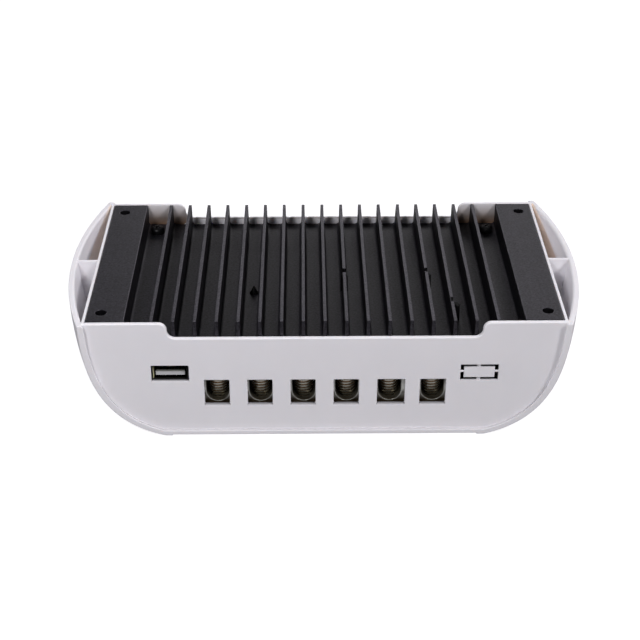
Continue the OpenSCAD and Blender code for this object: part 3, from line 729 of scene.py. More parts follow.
def half_profile(y, d, n=40, k=4):
    """Right half of the skin's cross-section at y, with every surface d inside: outer side up, then inner side down."""
    zt = SHELL_H - d
    out = [(0.0, RECESS_D + d), (20.0, RECESS_D + d), (40.0, RECESS_D + d), (RECESS_W / 2 + d, RECESS_D + d), (RECESS_W / 2 + d, d)]
    r = R_RIM
    for i in range(n + 1):
        z = d + (SHELL_H - r - d) * (i / n) ** 1.8
        out.append((skin_x(z, y, d), z))
    xo, xi = skin_x(SHELL_H, y, d), skin_x(SHELL_H, y, SKIN - d)
    q = max(r - d, 0.02)
    ri = R_IN
    qi = max(ri - d, 0.02)
    for i in range(1, k + 1):
        a = PI / 2 * i / k
        out.append((xo - q * (1 - math.cos(a)), SHELL_H - r + (r - d) * math.sin(a)))
    for i in range(8 + 1):
        a = PI / 2 * (1 - i / 8)
        out.append((xi + qi * (1 - math.cos(a)), SHELL_H - ri + (ri - d) * math.sin(a)))
    f = FLOOR_Z - d
    for i in range(1, n + 1):
        z = f + (SHELL_H - ri - f) * ((n - i) / n) ** 1.8
        out.append((skin_x(z, y, SKIN - d), z))
    out += [(40.0, f), (20.0, f), (0.0, f)]
    return out


def skin_ring(y, d):
    h = half_profile(y, d)
    right = h
    left = [(-x, z) for x, z in reversed(h[1:-1])]
    return [(x, y, z) for x, z in right + left]


ys = []
for k in range(5):
    a = PI / 2 * k / 4
    ys.append((LIP_Y - R_END + R_END * math.cos(a), R_END * (1 - math.sin(a))))
inner = [(-1 + 2 * i / 26) * (LIP_Y - R_END) for i in range(1, 26)]
stations = [(-y, d) for y, d in ys] + [(y, 0.0) for y in inner] + [(y, d) for y, d in reversed(ys)]
shell = make("front_shell_moulding", *loft([skin_ring(y, d) for y, d in stations]))


def lens_solid(t, z0, z1, ye, n=30):
    rings = []
    for i in range(25):
        y = -ye + 2 * ye * i / 24
        pts = []
        for j in range(n + 1):
            z = z0 + (z1 - z0) * (j / n) ** 1.8
            pts.append((skin_x(min(z, CRV_Z), y, t), y, z))
        rings.append(pts + [(-x, yy, z) for x, yy, z in reversed(pts)])
    return loft(rings)


def notch_wall():
    """Outline of an end wall with its air notch, x against z."""
    z0, z1, hw, r, n = BASE_TOP + 2.75, SHELL_H, 58.2, 3.0, 10
    right = [(hw - r + r * math.cos(a), z0 + r + r * math.sin(a)) for a in [math.radians(270 + 90 * k / n) for k in range(n + 1)]]
    right += [(hw + r + r * math.cos(a), z1 - r + r * math.sin(a)) for a in [math.radians(180 - 90 * k / n) for k in range(n + 1)]]
    left = [(-x, z) for x, z in reversed(right)]
    return [(-104, 1.0), (104, 1.0), (104, z1)] + list(reversed(right)) + list(reversed(left)) + [(-104, z1)]


walls = make("walls", *prism(notch_wall(), -WALL_OUT, -WALL_IN, xz, R_WALL, ROUND, 4))
boolean(walls, [prism(notch_wall(), WALL_IN, WALL_OUT, xz, ROUND, R_WALL, 4)], "UNION")
for s in (-1, 1):
    lo, hi = sorted((s * INNER_IN, s * INNER_OUT))
    boolean(walls, [prism([(-WALL_IN - 0.5, 12), (WALL_IN + 0.5, 12), (WALL_IN + 0.5, SHELL_H), (-WALL_IN - 0.5, SHELL_H)], lo, hi, yz, ROUND, ROUND)], "UNION")
    lo, hi = sorted((s * (INNER_OUT - 0.4), s * 99.5))
    boolean(walls, [prism([(lo, 12), (hi, 12), (hi, SHELL_H), (lo, SHELL_H)], -0.8 - RIB_T / 2, -0.8 + RIB_T / 2, xz, ROUND, ROUND)], "UNION")
    lo, hi = sorted((s * (INNER_IN - 1.8), s * (INNER_IN + 0.3)))
    boolean(walls, [prism([(lo, BASE_BOT - 2.5), (hi, BASE_BOT - 2.5), (hi, BASE_BOT), (lo, BASE_BOT)], -WALL_IN - 0.3, WALL_IN + 0.3, xz)], "UNION")
for x, y in BOSS:
    boolean(walls, [prism(ring(7.2, 48, x, y), 1.0, BASE_BOT, xy, 0, 0.2)], "UNION")
    lo, hi = sorted((y, math.copysign(WALL_IN + 0.3, y)))
    boolean(walls, [prism([(x - 0.7, lo), (x + 0.7, lo), (x + 0.7, hi), (x - 0.7, hi)], 1.0, BASE_BOT - 4, xy)], "UNION")
boolean(walls, [prism(ring(5.6, 40, x, y), 1.0, DISP_Z, xy, 0, 0.2) for x, y in DPOST], "UNION")
boolean(walls, [prism(ring(12.0, 64, x, TERM_Y), 1.0, 7.6, xy, 0, 0.2) for x in TX], "UNION")
boolean(walls, [prism(ring(KEY_D + 5.6, 64, (i - 1) * KEY_P, KEY_Y), 1.0, FLOOR_Z + 1.1, xy, 0, 0.2) for i in range(3)], "UNION")
boolean(walls, [lens_solid(1.1, 1.0, 49.6, LIP_Y - 0.8)], "INTERSECT")

vw = [tuple(v.co / MM) for v in walls.data.vertices]
fw = [tuple(p.vertices) for p in walls.data.polygons]
boolean(shell, [(vw, fw)], "UNION", tri=True)
wd = walls.data
bpy.data.objects.remove(walls)
bpy.data.meshes.remove(wd)

cuts = []
for i, x in enumerate(TX):
    cx, w = x + (OPEN_R[i] - OPEN_L[i]) / 2, OPEN_L[i] + OPEN_R[i]
    cuts.append(cutter(rrect(w, OPEN_Z1 - OPEN_Z0, 0.35, 4, cx, (OPEN_Z0 + OPEN_Z1) / 2), -WALL_OUT, -WALL_IN, xz, ROUND, ROUND, 0.8))
cuts.append(cutter(rrect(PORT_W, PORT_H, 0.35, 4, USB_X, PORT_Z0 + PORT_H / 2), -WALL_OUT, -WALL_IN, xz, ROUND, ROUND, 0.8))
# blank port: four corner slots leave the tab on its bridges
bz = PORT_Z0 - 0.1
fx0, fx1, fz0, fz1 = PORT_X - PORT_W / 2 - 0.2, PORT_X + PORT_W / 2, bz, bz + PORT_H
tx0, tx1, tz0, tz1 = PORT_X - 5.9, PORT_X + 5.6, bz + 1.1, bz + PORT_H - 1.05
WEB_T = 0.7
bx0, bx1, by0, by1 = PORT_X - 1.0, PORT_X + 0.4, bz + 3.4, bz + 4.0


def ell(xa, xb, xm, za, zb, zm):
    """Outline of an L-shaped slot: xa, za are the frame's corner, xb, zb the tab's, xm, zm the bridges'."""
    return [(xa, za), (xm, za), (xm, zb), (xb, zb), (xb, zm), (xa, zm)]


for xa, xb, xm in ((fx0, tx0, bx0), (fx1, tx1, bx1)):
    for za, zb, zm in ((fz0, tz0, by0), (fz1, tz1, by1)):
        cuts.append(cutter(ell(xa, xb, xm, za, zb, zm), -WALL_OUT, -WALL_IN, xz, 0.16, 0.1, 0.8, 2))
boolean(shell, cuts, tri=True)
# the lower edges of the wire and USB openings are rounded off towards the front


def sill(x0, x1, z, a, b, n=6):
    pts = [(-WALL_OUT + a - a * math.cos(PI / 2 * k / n), z - b + b * math.sin(PI / 2 * k / n)) for k in range(n + 1)]
    pts = [(-WALL_OUT - 0.3, z - b - 0.002)] + pts[1:] + [(-WALL_OUT + a, z + 0.3), (-WALL_OUT - 0.3, z + 0.3)]
    return prism(pts, x0, x1, yz)


boolean(shell, [sill(x - OPEN_L[i] - 0.15, x + OPEN_R[i] + 0.15, OPEN_Z0, 1.0, 0.55) for i, x in enumerate(TX)]
        + [sill(USB_X - PORT_W / 2 - 0.15, USB_X + PORT_W / 2 + 0.15, PORT_Z0, 0.8, 0.4)], tri=True)
# the wall is thinner behind the blank port
boolean(shell, [cutter(rrect(PORT_W + 2.0, PORT_H + 2.1, 0.5, 4, PORT_X, (PORT_Z0 - 1.1 + PORT_Z0 + PORT_H + 1.0) / 2), -WALL_OUT + WEB_T, -WALL_IN, xz, None, 0.1, 1.0, 2)])
# the bridges lie a little behind the wall's face
boolean(shell, [cutter([(bx0 - 0.2, z0), (bx1 + 0.2, z0), (bx1 + 0.2, z1), (bx0 - 0.2, z1)], -WALL_OUT, -WALL_OUT + 0.5, xz, 0.0, None, 0.8)
                for z0, z1 in ((fz0, tz0), (tz1, fz1))])
boolean(shell, [cutter([(x0, by0 - 0.2), (x1, by0 - 0.2), (x1, by1 + 0.2), (x0, by1 + 0.2)], -WALL_OUT, -WALL_OUT + 0.15, xz, 0.0, None, 0.8)
                for x0, x1 in ((fx0, tx0), (tx1, fx1))])
# display opening with the window's seat, keys and screwdriver holes in the front face
boolean(shell, [cutter(rrect(LCD_W + 6.4, LCD_L + 6.4, 2.0, 6, 0, LCD_Y), RECESS_D, RECESS_D + 1.2, xy, 0.15, None, 0.6)])
boolean(shell, [cutter(rrect(LCD_W, LCD_L, 1.0, 5, 0, LCD_Y), RECESS_D + 1.2, FLOOR_Z, xy, 0.0, 0.15, 0.6)]
        + [cutter(ring(KEY_D + 0.6, 64, (i - 1) * KEY_P, KEY_Y), RECESS_D, FLOOR_Z, xy, 0.3, 0.0, 1.0) for i in range(3)]
        + [cutter(ring(9.4, 64, x, TERM_Y), RECESS_D, 7.6, xy, 0.35, 0.2, 1.0) for x in TX])
boolean(shell, [cutter(ring(KEY_D + 3.2, 64, (i - 1) * KEY_P, KEY_Y), FLOOR_Z, FLOOR_Z + 1.1, xy, None, 0.0, 1.5) for i in range(3)]
        + [cutter(ring(3.0, 32, x, y), BASE_BOT - 12, BASE_BOT, xy, None, 0.15, 1.0) for x, y in BOSS]
        + [cutter(ring(2.2, 24, x, y), 3.2, DISP_Z, xy, None, 0.1, 1.0) for x, y in DPOST])
polish(shell, 36.0)
shell.data.materials.clear()
for q in (SHELL_M, SILL_SHADE_M, LEDGE_SHADE_M, SHADE_M, POCKET_SHADOW_M, FARWALL_SHADE_M, LIP_SHADE_M):
    shell.data.materials.append(q)
# slots 1 to 6 carry painted shade: wire sills, port ledges, USB port sides, the pockets' painted shadow, the far wall
# and the lip
for q in shell.data.polygons:
    c, nr = q.center / MM, q.normal
    if -0.9 < c.y < WALL_IN and abs(c.x) > INNER_OUT + 0.02 and c.z > 12 and nr.x * c.x < -0.1 * abs(c.x):
        q.material_index = 4
    if nr.y < -0.5 and WALL_IN - 0.3 < c.y < WALL_IN + 0.2 and c.z > BASE_BOT - 3 and abs(c.x) < INNER_IN + 0.3:
        q.material_index = 5
    if c.y < -WALL_OUT - 0.02 and c.z < 22 and nr.y > -0.6 and nr.z > 0.3 and (abs(c.x) < 60 or nr.x * c.x < 0):
        q.material_index = 6
    if -WALL_OUT - 0.1 < c.y < -WALL_IN + 0.1:
        if nr.z > 0.12 and OPEN_Z0 - 0.62 < c.z < OPEN_Z0 + 0.05 and abs(c.x) < 52:
            q.material_index = 1
        elif nr.z > 0.12 and abs(c.x - USB_X) < PORT_W / 2 + 0.3 and abs(c.z - PORT_Z0) < 0.5:
            q.material_index = 2
        elif nr.z > 0.3 and abs(c.x - PORT_X) < PORT_W / 2 + 0.6 and (abs(c.z - fz0) < 0.3 or abs(c.z - tz1) < 0.3):
            q.material_index = 2
        elif c.y > -WALL_OUT + 0.2 and abs(nr.y) < 0.5 and abs(c.x - USB_X) < PORT_W / 2 + 0.1 and abs(c.z - PORT_Z0 - PORT_H / 2) < PORT_H / 2 + 0.1:
            q.material_index = 3
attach(shell, "housing"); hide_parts("front_shell")

# ------------------------------------------------------------------ heatsink
def fin_profile(x, d=0.0):
    """One fin from its left root to its right root, with fillets and a rounded top; z counts from the base's top."""
    r, rt, n = 1.1, 0.16, 6
    out = []
    for s in (-1, 1):
        side = [(x + s * (FIN_ROOT / 2 + r - r * math.sin(PI / 2 * k / n)), r - r * math.cos(PI / 2 * k / n)) for k in range(n + 1)]
        top = [(x + s * (FIN_T / 2 - rt * (1 - math.cos(PI / 2 * k / 3))), FIN_H - rt + rt * math.sin(PI / 2 * k / 3)) for k in range(4)]
        out.append(side + [(x + s * (FIN_ROOT / 2 * 0.5 + FIN_T / 2 * 0.5), FIN_H * 0.5)] + top)
    return out[0] + list(reversed(out[1]))


def hs_profile():
    bx, bi, c, n = HS_W / 2, HS_W / 2 - BLOCK_W, 0.4, 3
    left = [(-bx + 0.3, -BASE_T), (-bx, -BASE_T + 0.3)]
    left += [(-bx + c - c * math.cos(PI / 2 * k / n), FIN_H - c + c * math.sin(PI / 2 * k / n)) for k in range(n + 1)]
    left += [(-bi - c + c * math.sin(PI / 2 * k / n), FIN_H - c + c * math.cos(PI / 2 * k / n)) for k in range(n + 1)]
    left += [(-bi + 1 - math.cos(PI / 2 * k / 5), 1 - math.sin(PI / 2 * k / 5)) for k in range(6)]
    fins = []
    for i in range(17):
        fins += fin_profile((i - 8) * PITCH)
    right = [(-x, z) for x, z in reversed(left)]
    # from the right underside corner round over the top to the left one, counter-clockwise
    return [(x, z + BASE_TOP) for x, z in reversed(left + fins + right)]


def build_heatsink():
    prof = ccw(hs_profile())
    e = HS_L / 2
    r = 0.14
    st = [(-e, -r), (-e + 0.05, -0.05), (-e + r, 0.0)]
    st += [(-e + r + (2 * e - 2 * r) * i / 28, 0.0) for i in range(1, 28)]
    st += [(e - r, 0.0), (e - 0.05, -0.05), (e, -r)]
    rings = []
    for y, d in st:
        pts = offset(prof, d)
        row = []
        for x, z in pts:
            # the far tip of one fin is bent a little
            if abs(x - 32) < 1.3 and z > BASE_TOP + 2.5 and y > 36:
                g = ((z - BASE_TOP - 2.5) / 6.6) ** 1.2 * ((y - 36) / 12.0) ** 1.5
                x += 0.24 * g
            row.append((x, y, z))
        rings.append(row)
    return loft(rings)


heatsink = make("heatsink_extrusion", *build_heatsink())
boolean(heatsink, [cutter(ring(MOUNT_D, 48, sx * MOUNT_DX / 2, sy * MOUNT_DY / 2), SHELL_H - 10, SHELL_H, xy, None, 0.25, 1.0)
                   for sx in (-1, 1) for sy in (-1, 1)]
        + [cutter(ring(3.4, 32, x, y), BASE_BOT, BASE_TOP, xy, 0.15, 0.15, 0.5) for x, y in BOSS])
boolean(heatsink, [cutter(ring(3.0, 32, x, y), BASE_BOT, BASE_TOP + 0.02, xy, 0.1, 0.0, 0.3) for x, y, h in DEV])
boolean(heatsink, [prism(ring(3.3, 32, x, y), BASE_TOP + 0.03, SHELL_H + 1, xy) for x, y, h in DEV])
polish(heatsink, 36.0)
heatsink.data.materials.clear(); heatsink.data.materials.append(HEAT_M)
heatsink.data.materials.append(BORE_SHADE_M)
heatsink.data.materials.append(FLANK_SHADE_M)
heatsink.data.materials.append(CREST_HIGHLIGHT_M)
# slot 1 is painted shade in the bores, slot 2 painted shade on the flanks, slot 3 painted highlight on the fin tops and
# top edges
for q in heatsink.data.polygons:
    c = q.center / MM
    if SHELL_H - 10.5 < c.z < SHELL_H - 0.3 and math.hypot(abs(c.x) - MOUNT_DX / 2, abs(c.y) - MOUNT_DY / 2) < MOUNT_D / 2 + 0.05:
        q.material_index = 1
    elif c.z > BASE_TOP + 0.01 and any(math.hypot(c.x - x, c.y - y) < 1.67 for x, y, h in DEV):
        q.material_index = 1
    elif abs(q.normal.x) > 0.8 and c.z > BASE_TOP + 0.2:
        q.material_index = 2
    elif c.z > SHELL_H - 0.45 and (abs(c.x) < HS_W / 2 - BLOCK_W - 1.0 or abs(q.normal.x) > 0.2):
        q.material_index = 3
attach(heatsink, "housing"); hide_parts("heatsink")

# ------------------------------------------------------------------ screws
def cross_outline(size, width, n=3):
    """Outline of a cruciform recess with rounded inner corners."""
    w, s = width / 2, size / 2
    out = []
    for q in range(4):
        c, sn = math.cos(PI / 2 * q), math.sin(PI / 2 * q)
        arm = [(s, -w), (s, w)] + [(w + w * 0.6 * (1 - math.sin(PI / 2 * k / n)), w + w * 0.6 * (1 - math.cos(PI / 2 * k / n))) for k in range(n + 1)]
        out += [(x * c - y * sn, x * sn + y * c) for x, y in arm]
    return out


def recess(size, width, z, depth, cx, cy, turn=0.0, up=True):
    """Tapered cruciform cutter that goes down (or up) from z."""
    rings = []
    s = 1 if up else -1
    for f, dz in ((1.06, 0.5), (1.0, 0.0), (0.72, -0.55 * depth), (0.34, -depth)):
        o = cross_outline(size * f, width * (0.55 + 0.45 * f))
        c, sn = math.cos(turn), math.sin(turn)
        rings.append([(cx + x * c - y * sn, cy + x * sn + y * c, z + s * dz) for x, y in o])
    return loft(rings)


def thread(cx, cy, z0, z1, r, p, depth, end_r0, end_r1, cham0, cham1, n=40, attr=None):
    """Closed helical thread from z0 to z1; its ends taper to end_r0 and end_r1. Returns verts, faces and each vertex's depth in the groove."""
    prof = [(0.0, 0.0), (0.42, 0.0), (0.63, 1.0), (0.79, 1.0)]  # phase, depth: crest, flank, root, flank
    turns = int(math.ceil((z1 - z0) / p)) + 2
    rows = []
    for t in range(-1, turns):
        for ph, dp in prof:
            rows.append((t + ph, dp))
    verts, dep = [], []
    def cham(z):
        a = end_r0 + (r - end_r0) * min(max((z - z0) / cham0, 0), 1)
        b = end_r1 + (r - end_r1) * min(max((z1 - z) / cham1, 0), 1)
        return min(a, b)
    for t, dp in rows:
        for i in range(n):
            z = z0 + p * (t + i / n)
            zc = min(max(z, z0), z1)
            rr = min(r - depth * dp, cham(zc))
            a = 2 * PI * i / n
            verts.append((cx + rr * math.cos(a), cy + rr * math.sin(a), zc))
            dep.append(dp if zc == z else 0.3)
    faces = []
    m = len(rows)
    for j in range(m - 1):
        for i in range(n):
            k = (i + 1) % n
            # one turn ahead in the same column set closes the seam
            a, b = j * n + i, (j * n + k if k else (j + 4) * n)
            c, d = ((j + 1) * n + k if k else (j + 5) * n), (j + 1) * n + i
            if max(a, b, c, d) < m * n:
                faces.append((a, b, c, d))
    return verts, faces, dep


def threaded_rod(name, cx, cy, z0, z1, r, p, depth, end_r0, end_r1, cham0, cham1, n, mats):
    v, f, dep = thread(cx, cy, z0, z1, r, p, depth, end_r0, end_r1, cham0, cham1, n)
    o = make(name, v, f)
    me = o.data
    bm = bmesh.new(); bm.from_mesh(me)
    lay = bm.verts.layers.float.new("groove")
    bm.verts.ensure_lookup_table()
    for i, b in enumerate(bm.verts):
        b[lay] = dep[i]
    bmesh.ops.remove_doubles(bm, verts=bm.verts, dist=1e-7)
    bmesh.ops.dissolve_degenerate(bm, dist=1e-8, edges=bm.edges)
    # close both ends
    open_edges = [e for e in bm.edges if len(e.link_faces) == 1]
    bmesh.ops.holes_fill(bm, edges=open_edges, sides=0)
    bmesh.ops.delete(bm, geom=[x for x in bm.verts if not x.link_faces], context="VERTS")
    bmesh.ops.recalc_face_normals(bm, faces=bm.faces)
    bm.to_mesh(me); bm.free()
    for m in mats:
        me.materials.append(m)
    return o


NAMES = ["pv_positive", "pv_negative", "battery_positive", "battery_negative", "load_positive", "load_negative"]
for i, (nm, x) in enumerate(zip(NAMES, TX)):
    z0, z1 = SCREW_TOP - SCREW_L, SCREW_TOP
    o = threaded_rod("clamp_screw_" + nm, x, TERM_Y, z0, z1, 4.0, 1.25, 0.48, 3.3, 3.1, 0.7, 0.9, 56, [THREAD_M])
    boolean(o, [recess(5.2, 1.35, z0, 2.6, x, TERM_Y, 0.35 + 0.9 * i, up=False)])
    polish(o, 50.0, weighted=False)
    o.data.materials.clear(); o.data.materials.append(THREAD_M)
    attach(o, "clamp_screw_" + nm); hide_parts("screw_" + nm)

# black pan-head screws at the heatsink's corners
parts = []
for j, (x, y) in enumerate(BOSS):
    z = BASE_TOP
    prof = [(0.0, z - 11), (1.2, z - 11), (1.45, z - 10.6), (1.45, z), (2.60, z), (2.75, z + 0.12), (2.77, z + 0.5), (2.75, z + 1.6),
            (2.66, z + 2.0), (2.45, z + 2.3), (2.05, z + 2.54), (1.4, z + 2.71), (0.7, z + 2.78), (0.0, z + 2.8)]
    prof = [(max(r, 0.004), h) for r, h in prof]
    o = make("corner_screw_%d" % j, *revolve(prof, 56, x, y))
    boolean(o, [recess(3.1, 0.62, z + 2.78, 1.6, x, y, (0.5, 1.1, 0.2, 0.9)[j])])
    parts.append(o)


def join(objs, name):
    vs, fs = [], []
    for o in objs:
        k = len(vs)
        vs += [tuple(v.co / MM) for v in o.data.vertices]
        fs += [tuple(q + k for q in p.vertices) for p in o.data.polygons]
        me = o.data
        bpy.data.objects.remove(o); bpy.data.meshes.remove(me)
    return make(name, vs, fs)


corner = join(parts, "heatsink_corner_screws")
polish(corner, 40.0)
corner.data.materials.clear(); corner.data.materials.append(BLACKSTEEL_M)
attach(corner, "housing"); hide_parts("heatsink_screws")

# transistor screws: head below the tab, threaded end above the base
parts = []
for j, (x, y, h) in enumerate(DEV):
    hz = BASE_BOT - 1.5
    top = BASE_TOP + h
    o = make("dev_head", *revolve([(max(r, 0.004), z) for r, z in [(0.0, hz - 2.2), (1.2, hz - 2.15), (2.1, hz - 1.9), (2.55, hz - 1.45), (2.75, hz - 0.8), (2.75, hz - 0.1), (2.65, hz), (0.0, hz)]], 40, x, y))
    boolean(o, [recess(2.9, 0.6, hz - 2.15, 1.3, x, y, 0.3 * j, up=False)])
    er1, ch = (0.18, 2.6) if h < 5 else (1.05, 0.5)
    sh = threaded_rod("dev_shank", x, y, hz - 0.3, top, 1.45, 0.5, 0.27, 1.3, er1, 0.2, ch, 28, [])
    vs = [tuple(v.co / MM) for v in sh.data.vertices]
    fs = [tuple(p.vertices) for p in sh.data.polygons]
    me = sh.data
    bpy.data.objects.remove(sh); bpy.data.meshes.remove(me)
    boolean(o, [(vs, fs)], "UNION")
    if h < 5:
        # burr pushed up around the pointed screw
        boolean(o, [revolve([(0.004, BASE_TOP - 0.4), (1.30, BASE_TOP - 0.4), (1.74, BASE_TOP + 0.02), (1.72, BASE_TOP + 0.30), (1.50, BASE_TOP + 0.46), (1.15, BASE_TOP + 0.34), (0.004, BASE_TOP + 0.30)], 40, x, y)], "UNION")
    parts.append(o)
dev = join(parts, "transistor_screws")
polish(dev, 50.0, weighted=False)
dev.data.materials.clear(); dev.data.materials.append(BLACKSTEEL_M); dev.data.materials.append(TIP_SHADE_M)
# the screw ends above the heatsink's base get the painted shade copy
for q in dev.data.polygons:
    if q.center.z > BASE_TOP * MM:
        q.material_index = 1
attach(dev, "housing"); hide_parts("device_screws")

# ------------------------------------------------------------------ clamp blocks
def u_channel(cx, grow=0.0, n=24):
    """Outline of the wire channel, x against z: round below, straight above."""
    r = CHAN_W / 2 + grow
    pts = [(cx + r * math.cos(a), CHAN_Z + r * math.sin(a)) for a in [math.radians(180 + 180 * k / n) for k in range(n + 1)]]
    return pts + [(cx + r, CHAN_TOP), (cx - r, CHAN_TOP)]


for i, (nm, x) in enumerate(zip(NAMES, TX)):
    w = TERM_W
    o = make("clamp_block_" + nm, *prism(rrect(w, TERM_TOP - TERM_BOT, 0.35, 4, x, (TERM_TOP + TERM_BOT) / 2), TERM_FACE, TERM_FACE + TERM_D, xz, 0.3, 0.3))
    boolean(o, [cutter(u_channel(x), TERM_FACE, TERM_FACE + TERM_D, xz, 0.28, 0.28, 0.5)])
    boolean(o, [cutter(ring(SCREW_D + 0.1, 56, x, TERM_Y), TERM_BOT, CHAN_Z - 1.5, xy, 0.3, 0.0, 0.5)])
    boolean(o, [prism(ring(1.6, 24, x + s * 4, TERM_Y + 4.5), TERM_TOP - 0.6, TERM_TOP + PCB_T + 0.2, xy, 0, 0.2) for s in (-1, 1)], "UNION")
    polish(o, 36.0)
    o.data.materials.clear(); o.data.materials.append(NICKEL_M); o.data.materials.append(CHAMFER_SHADE_M)
    # the chamfer round the channel's mouth gets the painted shade copy
    for q in o.data.polygons:
        c = q.center / MM
        d = math.hypot(c.x - x, c.z - CHAN_Z) if c.z < CHAN_Z else abs(c.x - x)
        if c.y < TERM_FACE + 0.30 and q.normal.y > -0.97 and -0.02 < d - CHAN_W / 2 < 0.30:
            q.material_index = 1
    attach(o, "housing"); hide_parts("terminal_" + nm)

# ------------------------------------------------------------------ USB socket
cz = USB_Z + USB_H / 2
usb = make("usb_socket_shell", *prism(rrect(USB_W, USB_H, 0.7, 5, USB_X, cz), USB_F, USB_F + 14, xz, 0.1, 0.3, 2))
boolean(usb, [cutter(rrect(USB_W - 0.7, USB_H - 0.7, 0.4, 5, USB_X, cz), USB_F, USB_F + 13.6, xz, 0.08, None, 0.5, 2)])
boolean(usb, [prism([(USB_X + s * 3 - 1.2, USB_F + 1.5), (USB_X + s * 3 - 1.2, USB_F + 7.5), (USB_X + s * 3 - 0.85, USB_F + 7.5), (USB_X + s * 3 - 0.85, USB_F + 1.85),
                     (USB_X + s * 3 + 0.85, USB_F + 1.85), (USB_X + s * 3 + 0.85, USB_F + 7.5), (USB_X + s * 3 + 1.2, USB_F + 7.5), (USB_X + s * 3 + 1.2, USB_F + 1.5)],
                    USB_Z - 0.3, USB_Z + 0.6, xy) for s in (-1, 1)])
# contact springs: a bent leaf in each cut-out
springs = []
for s in (-1, 1):
    x = USB_X + s * 3
    rows = [(7.4, 0.34), (6.2, 0.45), (5.0, 0.72), (4.0, 1.0), (3.3, 1.05), (2.7, 0.8), (2.2, 0.45)]
    lo = [[(x - 0.75, USB_F + yy, USB_Z + zz - 0.28), (x + 0.75, USB_F + yy, USB_Z + zz - 0.28), (x + 0.75, USB_F + yy, USB_Z + zz), (x - 0.75, USB_F + yy, USB_Z + zz)] for yy, zz in rows]
    springs.append(loft(lo))
boolean(usb, springs, "UNION")
polish(usb, 36.0)
usb.data.materials.clear()
for q in (STEEL_M, STEELEDGE_M, SOCKSIDE_M):
    usb.data.materials.append(q)
for q in usb.data.polygons:
    # the cut edge and the inner left side get the painted shade and highlight slots
    c = q.center / MM
    if c.y < USB_F + 0.2 and q.normal.y < -0.2:
        q.material_index = 1
    elif q.normal.x > 0.9 and c.x < USB_X - USB_W / 2 + 0.6:
        q.material_index = 2
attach(usb, "housing"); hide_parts("usb_shell")

tz0, tz1 = 25.9, 27.75
tongue = make("usb_socket_tongue", *prism([(USB_F + 0.3, tz0), (USB_F + 11, tz0), (USB_F + 11, tz1), (USB_F + 0.95, tz1), (USB_F + 0.3, tz1 - 0.6)], USB_X - 5.45, USB_X + 5.45, yz, 0.12, 0.12, 2))
boolean(tongue, [prism(rrect(12.2, USB_H - 0.8, 0.3, 4, USB_X, cz), USB_F + 9.8, USB_F + 13.5, xz, 0.05, 0.05, 2)], "UNION")
boolean(tongue, [prism(rrect(1.2, 8.7, 0.15, 3, USB_X + x, USB_F + 1.1 + 4.35), 27.45, 28.6, xy) for x in (-3.5, -1, 1, 3.5)])
polish(tongue, 36.0)
tongue.data.materials.clear(); tongue.data.materials.append(TONGUE_M)
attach(tongue, "housing"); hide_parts("usb_tongue")

contacts = make("usb_socket_contacts", *merge([prism(rrect(1.0, 8.5, 0.2, 4, USB_X + x, USB_F + 5.5), 27.46, 27.8, xy, 0, 0.08, 2) for x in (-3.5, -1, 1, 3.5)]))
polish(contacts, 36.0)
contacts.data.materials.clear(); contacts.data.materials.append(GOLD_SHADE_M)
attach(contacts, "housing"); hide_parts("usb_contacts")

# ------------------------------------------------------------------ front face
for i, k in enumerate(("menu", "up", "down")):
    x = (i - 1) * KEY_P
    r = KEY_D / 2
    prof = [(0, 0.42), (1.6, 0.39), (2.9, 0.31), (3.7, 0.19), (4.15, 0.12), (4.5, 0.13), (4.78, 0.22), (4.94, 0.42), (5.0, 0.75), (5.0, FLOOR_Z + 0.14), (r + 1.2, FLOOR_Z + 0.15),
            (r + 1.2, FLOOR_Z + 1.15), (2.0, FLOOR_Z + 1.15), (2.0, FLOOR_Z + 2.3), (0, FLOOR_Z + 2.3)]
    o = make("key_cap_" + k, *revolve([(max(a, 0.004), b) for a, b in prof], 64, x, KEY_Y))
    polish(o, 40.0)
    o.data.materials.append(KEY_M); 
    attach(o, k + "_key"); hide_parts("key_" + k)
    # plain raised symbol in the cap's dish
    if k == "menu":
        sym = [prism([(x - 1.5, KEY_Y + q - 0.22), (x + 1.5, KEY_Y + q - 0.22), (x + 1.5, KEY_Y + q + 0.22), (x - 1.5, KEY_Y + q + 0.22)], 0.2, 0.46, xy, 0.05, 0, 2) for q in (-1.0, 0.0, 1.0)]
    else:
        s = 1 if k == "up" else -1
        sym = [prism([(x - 1.5, KEY_Y - s * 0.8), (x + 1.5, KEY_Y - s * 0.8), (x, KEY_Y + s * 1.3)], 0.2, 0.46, xy, 0.05, 0, 2)]
    g = make("key_symbol_" + k, *merge(sym))
    polish(g, 36.0)
    g.data.materials.append(MARK_M)
    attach(g, k + "_key")

# printed film: border line, key rings and plain pictograms, each a thin raised print
film = make("front_film", *prism(rrect(RECESS_W - 0.6, 84.0, 3.0, 8, 0, 8.5), RECESS_D - 0.3, RECESS_D, xy, 0.08, 0, 2))
boolean(film, [cutter(rrect(LCD_W, LCD_L, 1.0, 5, 0, LCD_Y), RECESS_D - 0.3, RECESS_D, xy, 0.06, 0.0, 0.5, 2)]
        + [cutter(ring(KEY_D + 0.8, 64, (i - 1) * KEY_P, KEY_Y), RECESS_D - 0.3, RECESS_D, xy, 0.06, 0.0, 0.5, 2) for i in range(3)])
polish(film, 36.0)
film.data.materials.clear(); film.data.materials.append(OVERLAY_M)
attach(film, "housing"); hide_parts("front_overlay")


